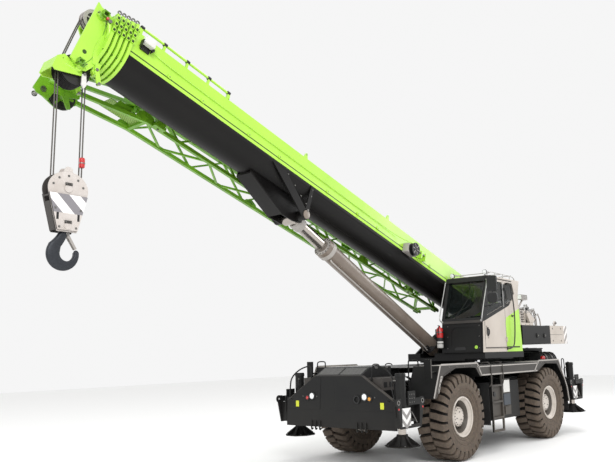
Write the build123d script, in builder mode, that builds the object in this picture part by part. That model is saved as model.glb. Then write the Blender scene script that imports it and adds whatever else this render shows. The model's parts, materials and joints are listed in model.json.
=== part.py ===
"""Rough-terrain telescopic mobile crane on two steered axles, as separate named pieces.

Frame: millimetres, +X to the front, +Y to the left (cab side), +Z up, ground at z = 0,
X = 0 at the middle of the whole machine with its boom stowed short.
"""
from build123d import *
from math import cos, radians, sin
import os

os.makedirs("parts", exist_ok=True)

# ---- driving dimensions ----
wheelbase = 4300
slew_x = -2947                       # slewing axis
front_axle_x = slew_x + wheelbase / 2
rear_axle_x = slew_x - wheelbase / 2
pin_gap = 0.3                        # radial and end play of pins, and slide pads
run_gap = 12                         # air between parts that pass each other

tyre_r = 875
tyre_w = 675
track_half = 1312.5                  # wheel middle from the centre line
rim_r = 410
kingpin_y = 1020
kingpin_r = 45
spindle_r = 85

body_half = 1650
deck_top = 1900
deck_thick = 12
frame_half = 430
plate_x = front_axle_x + 2100        # front face of the carrier
plate_thick = 20
tail_x = front_axle_x - 6400         # rear face of the carrier

beam_w = 190                         # outrigger beam, across X
beam_h = 260
beam_z = 1190                        # middle height of the beams
beam_wall = 14
float_r = 340
float_plate = 24
float_rise = 190                     # of the float's flared top
float_neck_r = 105
float_ribs = 8
jack_r = 75
rigger_tube_w = beam_w + 2 * run_gap + 2 * beam_wall
front_rigger_x = plate_x - plate_thick - rigger_tube_w
rear_rigger_x = tail_x + 235

boom_angle = 18.2                    # at rest
boom_foot_x = slew_x - 1650
boom_foot_z = 3000
boom_half = 380                      # half width of the base section
boom_top = 580                       # above the foot pin, square to the boom
boom_round = 130                     # height of the round bottom's centre
boom_wall = 14
boom_length = 11700                  # foot pin to the base section's collar
boom_tail = 420                      # base section behind the foot pin
section_count = 5
collar_pitch = 78
collar_thick = 48

lift_pin_u = 7380
lift_pin_w = -500
lift_foot_x = slew_x + 600
lift_foot_z = 2250
lift_bore_r = 160
lift_barrel_r = 185
lift_rod_r = 120
lift_barrel_length = 4500

head_sheave_u = boom_length + 530
head_sheave_w = -470
sheave_r = 230
block_z = 4650                       # axis of the hook block's sheaves at rest
hook_z = 3690                        # middle of the hook's bowl at rest

cab_front_x = front_axle_x - 1130
cab_rear_x = front_axle_x - 3170
cab_in_y = 460
cab_out_y = body_half - 120
cab_low_z = 2170
cab_top_z = 3920


# ---- planes and small helpers ----
def at_x(x):
    """Plane across the machine: local x is +Y, local y is +Z, it faces +X."""
    return Plane.YZ.offset(x)


def at_y(y):
    """Plane along the machine: local x is +X, local y is +Z, it faces -Y."""
    return Plane.XZ.offset(-y)


boom_dir = Vector(cos(radians(boom_angle)), 0, sin(radians(boom_angle)))
boom_up = Vector(-sin(radians(boom_angle)), 0, cos(radians(boom_angle)))
boom_foot = Vector(boom_foot_x, 0, boom_foot_z)


def on_boom(u, y, w):
    """Point u along the boom from its foot pin, y to the left, w square above the pin."""
    return boom_foot + boom_dir * u + boom_up * w + Vector(0, y, 0)


def boom_side(y):
    """Plane along the boom, facing -Y: local x runs to the head, local y is up."""
    return Plane(origin=on_boom(0, y, 0), x_dir=boom_dir, z_dir=(0, -1, 0))


def boom_cut(u):
    """Plane across the boom, facing the head: local x is +Y, local y is up."""
    return Plane(origin=on_boom(u, 0, 0), x_dir=(0, 1, 0), z_dir=boom_dir)


def block(x0, x1, y0, y1, z0, z1, mode=Mode.ADD):
    """Box between two corners."""
    with Locations(((x0 + x1) / 2, (y0 + y1) / 2, (z0 + z1) / 2)):
        Box(x1 - x0, y1 - y0, z1 - z0, mode=mode)


def plate(plane, outline, thick, both=False, mode=Mode.ADD):
    """Plate of a closed outline, thick along the plane's normal, or each side of it."""
    with BuildSketch(plane) as profile:
        with BuildLine():
            Polyline(*outline, close=True)
        make_face()
    extrude(profile.sketch, amount=thick, both=both, mode=mode)


def bent_plate(points, thick):
    """Closed outline of a bent plate, thick to the left of its line of points."""
    inner = []
    for index, (x, z) in enumerate(points):
        normals = []
        for start, end in ((index - 1, index), (index, index + 1)):
            if start >= 0 and end < len(points):
                run = Vector(points[end][0] - points[start][0], points[end][1] - points[start][1]).normalized()
                normals.append(Vector(-run.Y, run.X))
        mitre = (normals[0] + normals[-1]).normalized()
        reach = thick / mitre.dot(normals[0])
        inner.append((x + mitre.X * reach, z + mitre.Y * reach))
    return points + inner[::-1]


def disc(plane, centre, r, thick, both=False, mode=Mode.ADD):
    """Round plate or pin on a plane."""
    with BuildSketch(plane) as profile:
        with Locations(centre):
            Circle(r)
    extrude(profile.sketch, amount=thick, both=both, mode=mode)


def bar(start, end, r, mode=Mode.ADD):
    """Round bar between two points."""
    run = Vector(*end) - Vector(*start)
    with BuildSketch(Plane(origin=start, z_dir=run)) as section:
        Circle(r)
    extrude(section.sketch, amount=run.length, mode=mode)


def square_bar(start, end, width, side=(0, 1, 0)):
    """Square bar between two points, one pair of faces towards side."""
    run = Vector(*end) - Vector(*start)
    with BuildSketch(Plane(origin=start, x_dir=side, z_dir=run)) as section:
        Rectangle(width, width)
    extrude(section.sketch, amount=run.length)


def finish(name, part):
    """Label a finished piece and write it."""
    part.label = name
    export_step(part, f"parts/{name}.step")


# ---- chassis frame ----
axle_z = tyre_r
frame_top = 1500
frame_low = 800
frame_over_axle = 1200               # underside where the frame rises over an axle
pedestal_r = 620
pedestal_top = 1950
rigger_tube_low = beam_z - beam_h / 2 - pin_gap - beam_wall
rigger_tube_high = beam_z + beam_h / 2 + run_gap + beam_wall
saddle_z = axle_z + 150              # top of the axle pads
# X of a beam from its outrigger's middle, by the side it slides out to
beam_shift = {1: beam_w / 2 + run_gap + beam_wall, -1: -(beam_w / 2 + run_gap + beam_wall)}

with BuildPart() as chassis_frame:
    plate(at_y(0), [
        (plate_x - 20, frame_low + 250), (front_axle_x + 1450, frame_low + 250),
        (front_axle_x + 800, frame_over_axle), (front_axle_x - 800, frame_over_axle),
        (front_axle_x - 1150, frame_low), (rear_axle_x + 1150, frame_low),
        (rear_axle_x + 800, frame_over_axle), (rear_axle_x - 800, frame_over_axle),
        (rear_axle_x - 1050, frame_low + 250), (tail_x, frame_low + 250),
        (tail_x, frame_top), (plate_x - 20, frame_top),
    ], frame_half, both=True)
    with BuildSketch(Plane.XY.offset(frame_top)):
        with Locations((slew_x, 0)):
            Circle(pedestal_r)
    extrude(amount=pedestal_top - frame_top)
    for x in (front_axle_x, rear_axle_x):
        for side in (-1, 1):
            block(x - 120, x + 120, side * 330 - 90, side * 330 + 90, saddle_z, frame_over_axle)
    # Paired outrigger tubes across the frame, one for each side's beam
    for x in (front_rigger_x, rear_rigger_x):
        block(x - rigger_tube_w, x + rigger_tube_w, -body_half + 230, body_half - 230,
              rigger_tube_low, rigger_tube_high)
        for side in (-1, 1):
            mid = x + beam_shift[side]
            block(mid - beam_w / 2 - run_gap, mid + beam_w / 2 + run_gap, -body_half, body_half,
                  beam_z - beam_h / 2 - pin_gap, beam_z + beam_h / 2 + run_gap, mode=Mode.SUBTRACT)
finish("chassis_frame", chassis_frame.part)

# ---- front cover: bumper plate with sloped shoulders, and the hood behind it ----
cover_low = 780
cover_half = body_half - 230         # clear of the jack tubes beside it
with BuildPart() as front_cover:
    plate(at_x(plate_x), [
        (-cover_half, cover_low), (cover_half, cover_low), (cover_half - 20, 1290), (600, 1790), (-600, 1790),
        (-cover_half + 20, 1290),
    ], -plate_thick)
    # Hood: raised middle with a sloped roof down to the plate's top edge
    plate(at_y(0), [
        (plate_x - 20, frame_top), (plate_x - 20, 1790), (plate_x - 300, 1940),
        (plate_x - 1000, 1940), (plate_x - 1000, frame_top),
    ], 600, both=True)
    for side in (-1, 1):
        for y in (480, 590, 700):
            block(plate_x, plate_x + 18, side * y - 10, side * y + 10, cover_low - 60, cover_low + 130)
        # Tie-down hooks sit on the plate's foot
        block(plate_x - 60, plate_x - 20, side * 640 - 300, side * 640 + 300, cover_low, cover_low + 60)
finish("front_cover", front_cover.part)

# ---- deck, side beams and fenders ----
fender_thick = 30
fender_in_y = 1000
deck_lap = 40                        # of the deck under the fenders' inner edges
# Outline of each fender's skin, X from its axle: outside corners, then the arch inside
front_fender = [
    (1150, 1310), (870, 1930), (-590, 1930), (-760, 1670), (-690, 1670), (-520, 1850),
    (-290, 1865), (320, 1865), (790, 1720), (1075, 1310),
]
rear_fender = [
    (870, 1670), (600, 1910), (-600, 1910), (-1040, 1200), (-1115, 840), (-1075, 840),
    (-1000, 1200), (-905, 1400), (-660, 1640), (-480, 1830), (250, 1850), (700, 1670),
]
with BuildPart() as fenders_deck:
    for side in (-1, 1):
        low_y, high_y = sorted((side * (body_half - fender_thick), side * body_half))
        for axle_x, outline in ((front_axle_x, front_fender), (rear_axle_x, rear_fender)):
            points = [(axle_x + x, z) for x, z in outline]
            plate(at_y(high_y), points, fender_thick)
        skin_low, skin_high = sorted((side * fender_in_y, side * body_half))
        # Fender skins across the wheels
        for axle_x, outline, count in ((front_axle_x, front_fender, 4), (rear_axle_x, rear_fender, 5)):
            skin = [(axle_x + x, z) for x, z in outline[:count]]
            plate(at_y(skin_high), bent_plate(skin, fender_thick), skin_high - skin_low)
        # Side beam between the fenders
        block(rear_axle_x + 700, front_axle_x - 700, low_y, high_y, 1670, 1880)
        # Mirror on an arm ahead of the fender
        arm_y = side * (body_half - 90)
        square_bar((front_axle_x + 900, arm_y, 1800), (front_axle_x + 1200, arm_y, 1800), 30)
        y0, y1 = sorted((side * (body_half - 170), side * (body_half - 10)))
        block(front_axle_x + 1180, front_axle_x + 1215, y0, y1, 1700, 2060)
    block(rear_axle_x - 480, front_axle_x + 820, -fender_in_y - deck_lap, fender_in_y + deck_lap,
          deck_top - deck_thick, deck_top)
    block(rear_axle_x + 600, front_axle_x - 590, -body_half, body_half, deck_top - deck_thick, deck_top)
    with Locations((slew_x, 0, deck_top)):
        Cylinder(pedestal_r + pin_gap, 200, mode=Mode.SUBTRACT)
    # Webs carry the deck on the frame
    for x in (rear_axle_x - 300, rear_axle_x + 1200, slew_x + 900, front_axle_x + 600):
        block(x - 20, x + 20, -frame_half, frame_half, frame_top, deck_top - deck_thick)
finish("fenders_deck", fenders_deck.part)

# ---- engine and its hood at the tail ----
hood_front_x = rear_axle_x - 500
with BuildPart() as engine_block:
    block(tail_x + 180, hood_front_x - 60, -330, 330, frame_top, frame_top + 300)
finish("engine_block", engine_block.part)

hood_wall = 20
hood_top = 2240
hood_lid = 25
hood_shelf = 1640                    # top of the low wide part, which carries the silencer
hood_step_x = rear_axle_x - 1080     # behind it the hood is wide: ahead of it the wheels steer
hood_half = 600
hood_wide_half = 1000
silencer_r = 235
silencer_y = hood_half + silencer_r + 40
silencer_length = 980
silencer_ribs = 9
with BuildPart() as engine_hood:
    block(tail_x + 100, hood_front_x, -hood_half, hood_half, frame_top, hood_top - hood_lid)
    block(tail_x + 100 + hood_wall, hood_front_x - hood_wall, -hood_half + hood_wall, hood_half - hood_wall,
          frame_top, hood_top - hood_lid - hood_wall, mode=Mode.SUBTRACT)
    # Lid, sloped at the rear and lapping over the walls
    plate(at_y(hood_half + 20), [
        (tail_x + 60, hood_top - hood_lid - 2), (tail_x + 130, hood_top), (hood_front_x + 20, hood_top),
        (hood_front_x + 20, hood_top - hood_lid - 2),
    ], 2 * (hood_half + 20))
    # Grille bars in each side's opening
    for side in (-1, 1):
        y0, y1 = sorted((side * (hood_half - hood_wall - 2), side * (hood_half + 2)))
        block(tail_x + 300, hood_step_x + 300, y0, y1, hood_top - 240, hood_top - 80, mode=Mode.SUBTRACT)
        y0, y1 = sorted((side * (hood_half - hood_wall), side * hood_half))
        for z in (hood_top - 210, hood_top - 168, hood_top - 126):
            block(tail_x + 290, hood_step_x + 310, y0, y1, z, z + 16)
        # Low wide part beside it
        y0, y1 = sorted((side * (hood_half - 1), side * hood_wide_half))
        block(tail_x, hood_step_x, y0, y1, frame_top, hood_shelf)
    block(tail_x, tail_x + 101, -hood_half, hood_half, frame_top, hood_shelf)
    # Ribbed silencer on two saddles
    silencer_z = hood_shelf + 20 + silencer_r
    silencer_x = hood_step_x - silencer_length + 220
    bar((silencer_x, silencer_y, silencer_z), (silencer_x + silencer_length, silencer_y, silencer_z), silencer_r - 20)
    for rib in range(silencer_ribs):
        rib_x = silencer_x + 30 + rib * (silencer_length - 90) / (silencer_ribs - 1)
        bar((rib_x, silencer_y, silencer_z), (rib_x + 30, silencer_y, silencer_z), silencer_r)
    for x in (silencer_x + 190, hood_step_x - 120):
        block(x - 30, x + 30, silencer_y - 120, silencer_y + 110, hood_shelf - 1, hood_shelf + 70)
finish("engine_hood", engine_hood.part)

# ---- axles, knuckles and wheels ----
fork_half = 210                      # kingpin fork, half height between its arms
fork_thick = 50
corners = {
    "front_left": (front_axle_x, 1), "front_right": (front_axle_x, -1),
    "rear_left": (rear_axle_x, 1), "rear_right": (rear_axle_x, -1),
}
for end, axle_x in (("front", front_axle_x), ("rear", rear_axle_x)):
    with BuildPart() as axle:
        bar((axle_x, -kingpin_y + 150, axle_z), (axle_x, kingpin_y - 150, axle_z), 130)
        with Locations((axle_x, 0, axle_z)):
            Sphere(250)
        with Locations((axle_x, 0, axle_z)):
            Box(700, 150, 150)
        for side in (-1, 1):
            block(axle_x - 110, axle_x + 110, side * 330 - 80, side * 330 + 80, axle_z, saddle_z)
            y0, y1 = sorted((side * (kingpin_y - 190), side * (kingpin_y - 140)))
            block(axle_x - 100, axle_x + 100, y0, y1, axle_z - fork_half - fork_thick,
                  axle_z + fork_half + fork_thick)
            for up in (-1, 1):
                y0, y1 = sorted((side * (kingpin_y - 190), side * (kingpin_y + 80)))
                z0, z1 = sorted((axle_z + up * fork_half, axle_z + up * (fork_half + fork_thick)))
                block(axle_x - 80, axle_x + 80, y0, y1, z0, z1)
            bar((axle_x, side * kingpin_y, axle_z - fork_half - 5),
                (axle_x, side * kingpin_y, axle_z + fork_half + 5), kingpin_r)
    finish(f"{end}_axle", axle.part)

hub_in = 1235                        # inner end of the hub
hub_out = 1500
for name, (axle_x, side) in corners.items():
    with BuildPart() as knuckle:
        bar((axle_x, side * kingpin_y, axle_z - fork_half + pin_gap),
            (axle_x, side * kingpin_y, axle_z + fork_half - pin_gap), 105)
        bar((axle_x, side * kingpin_y, axle_z), (axle_x, side * (hub_in - pin_gap), axle_z), 150)
        bar((axle_x, side * (hub_in - pin_gap), axle_z), (axle_x, side * (hub_out - 60), axle_z), spindle_r)
        bar((axle_x, side * kingpin_y, axle_z - fork_half), (axle_x, side * kingpin_y, axle_z + fork_half),
            kingpin_r + pin_gap, mode=Mode.SUBTRACT)
        # Clear of the axle's fork web
        y0, y1 = sorted((side * (kingpin_y - 400), side * (kingpin_y - 118)))
        block(axle_x - 200, axle_x + 200, y0, y1, axle_z - 300, axle_z + 300, mode=Mode.SUBTRACT)
    finish(f"knuckle_{name}", knuckle.part)

    # Wheel profiles as (distance outward from the wheel's middle, radius)
    wheel_plane = Plane(origin=(axle_x, side * track_half, axle_z), x_dir=(0, side, 0), z_dir=(side, 0, 0))
    axis = Axis((axle_x, side * track_half, axle_z), (0, side, 0))
    with BuildPart() as rim:
        with BuildSketch(wheel_plane) as profile:
            with BuildLine():
                Polyline(
                    (287, 410), (287, 385), (255, 375), (90, 270), (60, 262), (60, 200), (180, 200), (187, 150),
                    (187, 0), (130, 0), (130, spindle_r + pin_gap), (hub_in - track_half, spindle_r + pin_gap),
                    (hub_in - track_half, 190), (-10, 262), (-10, 360), (-300, 375), (-300, 410), (-270, 410),
                    (-260, 392), (250, 392), (262, 410), close=True)
            make_face()
        revolve(profile.sketch, axis=axis)
    finish(f"rim_{name}", rim.part)

    with BuildPart() as tyre:
        with BuildSketch(wheel_plane) as profile:
            with BuildLine():
                Polyline(
                    (248, 392 + pin_gap), (260, 410 + pin_gap), (337.5, 600), (320, 800), (270, 862), (180, tyre_r),
                    (-180, tyre_r), (-270, 862), (-320, 800), (-337.5, 600),
                    (-268, 410 + pin_gap), (-258, 392 + pin_gap), close=True)
            make_face()
        revolve(profile.sketch, axis=axis)
    finish(f"tyre_{name}", tyre.part)

# ---- outriggers: beam with its end frame and jack tube, and the jack rod with its float ----
jack_tube_r = 95
beam_end_y = body_half - 150
beam_in_length = 2 * beam_end_y - 300    # beam, from its outer end inward
jack_top = 1820
jack_set = 150                       # jack from its beam's middle, away from the other side's beam
frame_set = 390                      # ears of the end frame from the beam's middle
end_frame_low = 840
ear_z = 1310
ear_r = 75
float_z = 520
riggers = {
    "front_left": (front_rigger_x, 1), "front_right": (front_rigger_x, -1),
    "rear_left": (rear_rigger_x, 1), "rear_right": (rear_rigger_x, -1),
}
for name, (x, side) in riggers.items():
    mid = x + beam_shift[side]
    jack_x = mid + side * jack_set
    inner_y = side * (beam_end_y - beam_in_length)
    y0, y1 = sorted((inner_y, side * beam_end_y))
    jack_y = side * (beam_end_y + jack_tube_r - 60)
    with BuildPart() as beam:
        block(mid - beam_w / 2, mid + beam_w / 2, y0, y1, beam_z - beam_h / 2, beam_z + beam_h / 2)
        bar((jack_x, jack_y, end_frame_low), (jack_x, jack_y, jack_top), jack_tube_r)
        # End plate on the beam, and the webs out to the end frame
        e0, e1 = sorted((side * (beam_end_y - 10), side * (beam_end_y + 30)))
        block(mid - 320, mid + 320, e0, e1, beam_z - 150, beam_z + 170)
        o0, o1 = sorted((side * (body_half - 30), side * body_half))
        for web_x in (mid - 310, mid + 292):
            block(web_x, web_x + 18, min(e0, o0), max(e1, o1), end_frame_low + 10, ear_z - 60)
        # End frame: a leg from each ear down to the bottom bar
        block(mid - 330, mid + 330, o0, o1, end_frame_low, end_frame_low + 65)
        for step in (-1, 1):
            plate(at_y(o1), [
                (mid + step * (frame_set + 40), ear_z - 40), (mid + step * 330, end_frame_low + 5),
                (mid + step * 270, end_frame_low + 5), (mid + step * 300, ear_z - 40), (mid + step * 300, ear_z + 70),
                (mid + step * frame_set, ear_z + 70),
            ], o1 - o0)
            disc(at_y(o1), (mid + step * frame_set, ear_z), ear_r, o1 - o0)
            disc(at_y(o1), (mid + step * frame_set, ear_z), 26, o1 - o0, mode=Mode.SUBTRACT)
        # Cross plate between the ears, and the plate over the jack
        x0, x1 = sorted((mid - side * 310, mid + side * 80))
        block(x0, x1, o0, o1, ear_z - 60, ear_z + 60)
        x0, x1 = sorted((mid - side * 160, mid + side * 80))
        block(x0, x1, o0, o1, ear_z - 60, ear_z + 190)
        x0, x1 = sorted((mid + side * 10, mid + side * 300))
        block(x0, x1, o0, o1, end_frame_low + 40, end_frame_low + 370)
        bar((jack_x, jack_y, end_frame_low - 10), (jack_x, jack_y, jack_top - 30), jack_r + pin_gap,
            mode=Mode.SUBTRACT)
    finish(f"outrigger_beam_{name}", beam.part)
    with BuildPart() as jack:
        bar((jack_x, jack_y, float_z + 60), (jack_x, jack_y, jack_top - 80), jack_r)
        with BuildSketch(Plane.XY.offset(float_z)) as foot:
            with Locations((jack_x, jack_y)):
                RegularPolygon(float_r, 8, rotation=22.5)
        extrude(foot.sketch, amount=float_plate)
        rib_z = float_z + float_plate
        with Locations((jack_x, jack_y, rib_z + float_rise / 2)):
            Cone(float_r - 120, float_neck_r, float_rise)
        for rib in range(float_ribs):
            turn = 360 / float_ribs * rib
            out = (cos(radians(turn)), sin(radians(turn)), 0)
            plate(Plane(origin=(jack_x, jack_y, rib_z), x_dir=out, z_dir=(out[1], -out[0], 0)), [
                (float_neck_r - 20, -2), (float_r - 35, -2), (float_r - 35, 22), (float_neck_r - 5, float_rise - 25),
                (float_neck_r - 20, float_rise - 25),
            ], 8, both=True)
    finish(f"outrigger_jack_{name}", jack.part)

# ---- ladders and side boxes between the wheels ----
ladder_x = front_axle_x - 1460
with BuildPart() as ladders_boxes:
    for side in (-1, 1):
        for dx in (-240, 240):
            square_bar((ladder_x + dx, side * (body_half - 25), 440), (ladder_x + dx, side * (body_half - 25), 1670), 40)
        for z in (460, 740, 1080, 1430):
            y0, y1 = sorted((side * (body_half - 50), side * body_half))
            block(ladder_x - 240, ladder_x + 240, y0, y1, z - 20, z + 20)
        # Box behind the ladder, hung from the frame
        y0, y1 = sorted((side * frame_half, side * (body_half - 250)))
        block(front_axle_x - 3000, front_axle_x - 1200, y0, y1, 650, 1500)
        y0, y1 = sorted((side * (body_half - 250), side * (body_half - 50)))
        block(ladder_x - 700, ladder_x - 300, y0, y1, 760, 1560)
        block(ladder_x - 300, ladder_x + 260, y0, y1, 700, 1400)
finish("ladders_boxes", ladders_boxes.part)

# ---- superstructure ----
turntable_low = pedestal_top + pin_gap
cheek_y = 470
with BuildPart() as turntable:
    with BuildSketch(Plane.XY.offset(turntable_low)) as ring:
        with Locations((slew_x, 0)):
            Circle(700)
    extrude(ring.sketch, amount=120)
    table_half = 1000
    plate(Plane.XY.offset(turntable_low + 40), [
        (slew_x - 1500, -table_half), (slew_x + 250, -table_half), (slew_x + 950, -550),
        (slew_x + 950, table_half), (slew_x - 1500, table_half),
    ], cab_low_z - pin_gap - turntable_low - 40)
    block(slew_x - 1000, slew_x + 950, 990, cab_out_y, turntable_low + 80, cab_low_z - pin_gap)
    # Cheeks carry the boom foot pin
    for side in (-1, 1):
        y0, y1 = sorted((side * (boom_half + 30), side * (boom_half + 70)))
        plate(at_y(y1), [
            (slew_x + 900, cab_low_z - 60), (slew_x + 300, 2450), (boom_foot_x + 350, 3180),
            (boom_foot_x, 3260), (boom_foot_x - 260, 3150), (boom_foot_x - 280, 2830),
            (slew_x - 2300, 2600), (slew_x - 2300, 2360), (slew_x - 1500, cab_low_z - 60),
        ], 40)
        # Cheeks of the lift cylinder's foot
        y0, y1 = sorted((side * 200, side * 240))
        plate(at_y(y1), [
            (lift_foot_x - 260, cab_low_z - 60), (lift_foot_x + 260, cab_low_z - 60),
            (lift_foot_x + 120, lift_foot_z + 120), (lift_foot_x - 120, lift_foot_z + 120),
        ], 40)
    bar((lift_foot_x, -270, lift_foot_z), (lift_foot_x, 270, lift_foot_z), 60)
    bar((boom_foot_x, -boom_half - 100, boom_foot_z), (boom_foot_x, boom_half + 100, boom_foot_z), 70)
    # Tail frame under the counterweight
    for side in (-1, 1):
        y0, y1 = sorted((side * (boom_half + 70), side * (boom_half + 110)))
        block(slew_x - 3000, slew_x - 1400, y0, y1, 2340, 2700)
    block(slew_x - 3000, slew_x - 2940, -boom_half - 110, boom_half + 110, 2340, 2700)
    # Well for the lift cylinder, clear of its lowest swing
    block(lift_foot_x - 240, lift_foot_x + 700, -200, 200, turntable_low + 120, cab_low_z + 5, mode=Mode.SUBTRACT)
finish("turntable", turntable.part)

weight_rear = slew_x - 4530
weight_eye_y = 1000
weight_arm_top = 2820
weight_well_y = boom_half + 70       # inner face of the tail frame's rails
weight_well_z = 2620
with BuildPart() as counterweight:
    plate(Plane.XY.offset(2340), [
        (slew_x - 3000 - pin_gap, -1300), (slew_x - 3000 - pin_gap, 1300), (weight_rear + 200, 1300),
        (weight_rear, 1050), (weight_rear, -1050), (weight_rear + 200, -1300),
    ], 490)
    for side in (-1, 1):
        y0, y1 = sorted((side * 1000, side * 1300))
        block(slew_x - 3010, slew_x - 1500, y0, y1, 2340, weight_arm_top)
    # Lifting eyes on the rear corners
    for side in (-1, 1):
        eye_x = weight_rear + 330
        y0, y1 = sorted((side * weight_eye_y, side * (weight_eye_y + 40)))
        block(eye_x - 130, eye_x + 130, side * weight_eye_y - 70, side * weight_eye_y + 110, 2829, 2845)
        disc(at_y(y1), (eye_x, 2910), 75, y1 - y0)
        block(eye_x - 60, eye_x + 60, y0, y1, 2840, 2900)
        disc(at_y(y1), (eye_x, 2920), 34, y1 - y0, mode=Mode.SUBTRACT)
    # Well for the rear winch
    block(slew_x - 3850, slew_x - 2900, -weight_well_y, weight_well_y, weight_well_z, 2831, mode=Mode.SUBTRACT)
finish("counterweight", counterweight.part)

# ---- hoist winches and the housing behind the cab ----
winch_z = 3090
winch_flange_r = 290
winch_stand_y = 400                  # inner face of a winch's side plates
with BuildPart() as hoist_winches:
    for x, foot_z in ((slew_x - 2700, 2480), (slew_x - 3450, weight_well_z)):
        bar((x, -winch_stand_y, winch_z), (x, winch_stand_y, winch_z), 180)
        for side in (-1, 1):
            y0, y1 = sorted((side * 330, side * 370))
            bar((x, y0, winch_z), (x, y1, winch_z), winch_flange_r)
            y0, y1 = sorted((side * winch_stand_y, side * weight_well_y))
            plate(at_y(y1), [
                (x - 240, foot_z), (x + 240, foot_z), (x + 200, winch_z - 50), (x + 130, winch_z + 170),
                (x - 130, winch_z + 170), (x - 200, winch_z - 50),
            ], y1 - y0)
        # Hydraulic motor on the outside of the left stand
        bar((x, weight_well_y - 1, winch_z), (x, weight_well_y + 210, winch_z), 95)
finish("hoist_winches", hoist_winches.part)

housing_y = 1300
housing_slats = 6
with BuildPart() as power_housing:
    plate(at_y(housing_y), [
        (slew_x - 1402, weight_arm_top), (slew_x - 1402, 3190), (slew_x - 1902, 3190), (slew_x - 2282, 2980),
        (slew_x - 2120, weight_arm_top),
    ], 600)
    # Air inlet, with slats across it
    plate(at_y(housing_y + 1), [
        (slew_x - 1450, 2880), (slew_x - 1450, 3130), (slew_x - 1800, 3130), (slew_x - 1990, 2880),
    ], 81, mode=Mode.SUBTRACT)
    for slat in range(housing_slats):
        slat_z = 2890 + slat * 42
        block(slew_x - 1720, slew_x - 1440, housing_y - 60, housing_y - 20, slat_z, slat_z + 16)
    block(slew_x - 1735, slew_x - 1715, housing_y - 82, housing_y - 10, 2870, 3140)
    # Work lamp on a post
    bar((slew_x - 2050, 850, 3060), (slew_x - 2050, 850, 3540), 28)
    block(slew_x - 2250, slew_x - 1900, 790, 910, 3530, 3670)
finish("power_housing", power_housing.part)

# ---- cab ----
cab_wall = 45
door_gap = 6
glass_thick = 8
glass_inset = 15                     # glass face below the wall's outer face
belt_front_z = 2960
belt_rise = 0.3                      # of the side windows' belt line, up towards the rear
window_top_z = 3800
sill = 70                            # frame around a window
door_front_x = cab_front_x - 130
door_rear_x = cab_front_x - 1160
chin_x = cab_front_x - 60            # windshield's foot
chin_z = 2900
brow_x = cab_front_x - 400           # windshield's head


def windshield_x(z):
    """X of the windshield's outer face at a height."""
    return chin_x + (brow_x - chin_x) * (z - chin_z) / (cab_top_z - chin_z)


def belt_z(x):
    """Height of the side windows' lower edge."""
    return belt_front_z + belt_rise * (windshield_x(belt_front_z) - sill - x)


roof_fall = 40                       # of the roof, from its brow to the rear
cab_outline = [
    (cab_front_x, cab_low_z), (chin_x, chin_z), (brow_x, cab_top_z),
    (cab_rear_x + 30, cab_top_z - roof_fall), (cab_rear_x + 150, 3500), (cab_rear_x + 60, cab_low_z),
]


def roof_z(x):
    """Height of the roof at X."""
    return cab_top_z - roof_fall * (brow_x - x) / (brow_x - cab_rear_x - 30)


door_low_z = cab_low_z + 80
door_top_z = 3860


def door_shape(margin):
    """Door outline, grown by a margin."""
    return [
        (door_front_x + margin, door_low_z - margin), (windshield_x(chin_z) - 110 + margin, chin_z),
        (windshield_x(door_top_z) - 110 + margin, door_top_z + margin),
        (door_rear_x - margin, door_top_z + margin), (door_rear_x - margin, door_low_z - margin),
    ]


door_window_front = windshield_x(belt_front_z) - 110 - sill
door_window = [
    (door_window_front, belt_z(door_window_front)),
    (windshield_x(window_top_z) - 110 - sill, window_top_z),
    (door_rear_x + sill, window_top_z), (door_rear_x + sill, belt_z(door_rear_x + sill)),
]
quarter_front = door_rear_x - sill
quarter_window = [
    (quarter_front, belt_z(quarter_front)), (quarter_front, window_top_z),
    (cab_rear_x + 420, window_top_z), (cab_rear_x + 330, 3560), (cab_rear_x + 480, belt_z(cab_rear_x + 480)),
]
far_window = [
    (door_window_front, belt_z(door_window_front)),
    (windshield_x(window_top_z) - 110 - sill, window_top_z),
    (cab_rear_x + 420, window_top_z), (cab_rear_x + 330, 3560), (cab_rear_x + 480, belt_z(cab_rear_x + 480)),
]
windshield_span = (belt_front_z - 20, cab_top_z - 100)
rear_window_span = (2950, 3420)
pillar = 65                          # front and rear posts, seen from ahead

hinge_x = door_rear_x
hinge_y = cab_out_y + 14
hinge_r = 12
hinge_pin_r = 6
hinge_heights = (2420, 3600)
hinge_length = 60

with BuildPart() as cab_shell:
    plate(at_y(cab_out_y), cab_outline, cab_out_y - cab_in_y)
    offset(amount=-cab_wall, kind=Kind.INTERSECTION, mode=Mode.SUBTRACT)
    plate(at_y(cab_out_y + 1), door_shape(door_gap), cab_wall + 2, mode=Mode.SUBTRACT)
    plate(at_y(cab_out_y + 1), quarter_window, cab_wall + 2, mode=Mode.SUBTRACT)
    plate(at_y(cab_in_y + cab_wall + 1), far_window, cab_wall + 2, mode=Mode.SUBTRACT)
    low, high = windshield_span
    plate(at_y(cab_out_y - pillar), [
        (cab_front_x + 50, low), (cab_front_x - 250, low), (brow_x - 200, high), (cab_front_x + 50, high),
    ], cab_out_y - cab_in_y - 2 * pillar, mode=Mode.SUBTRACT)
    low, high = rear_window_span
    block(cab_rear_x - 20, cab_rear_x + 250, cab_in_y + pillar, cab_out_y - pillar, low, high,
          mode=Mode.SUBTRACT)
    for z in hinge_heights:
        bar((hinge_x, hinge_y, z - 25), (hinge_x, hinge_y, z + hinge_length + 25), hinge_pin_r)
        for low in (z - 25, z + hinge_length + pin_gap):
            block(hinge_x - 40, hinge_x - door_gap, cab_out_y - 5, hinge_y + hinge_pin_r, low, low + 25 - pin_gap)
            block(hinge_x - door_gap, hinge_x + hinge_pin_r, cab_out_y + 5, hinge_y + hinge_pin_r,
                  low, low + 25 - pin_gap)
finish("cab_shell", cab_shell.part)

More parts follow.
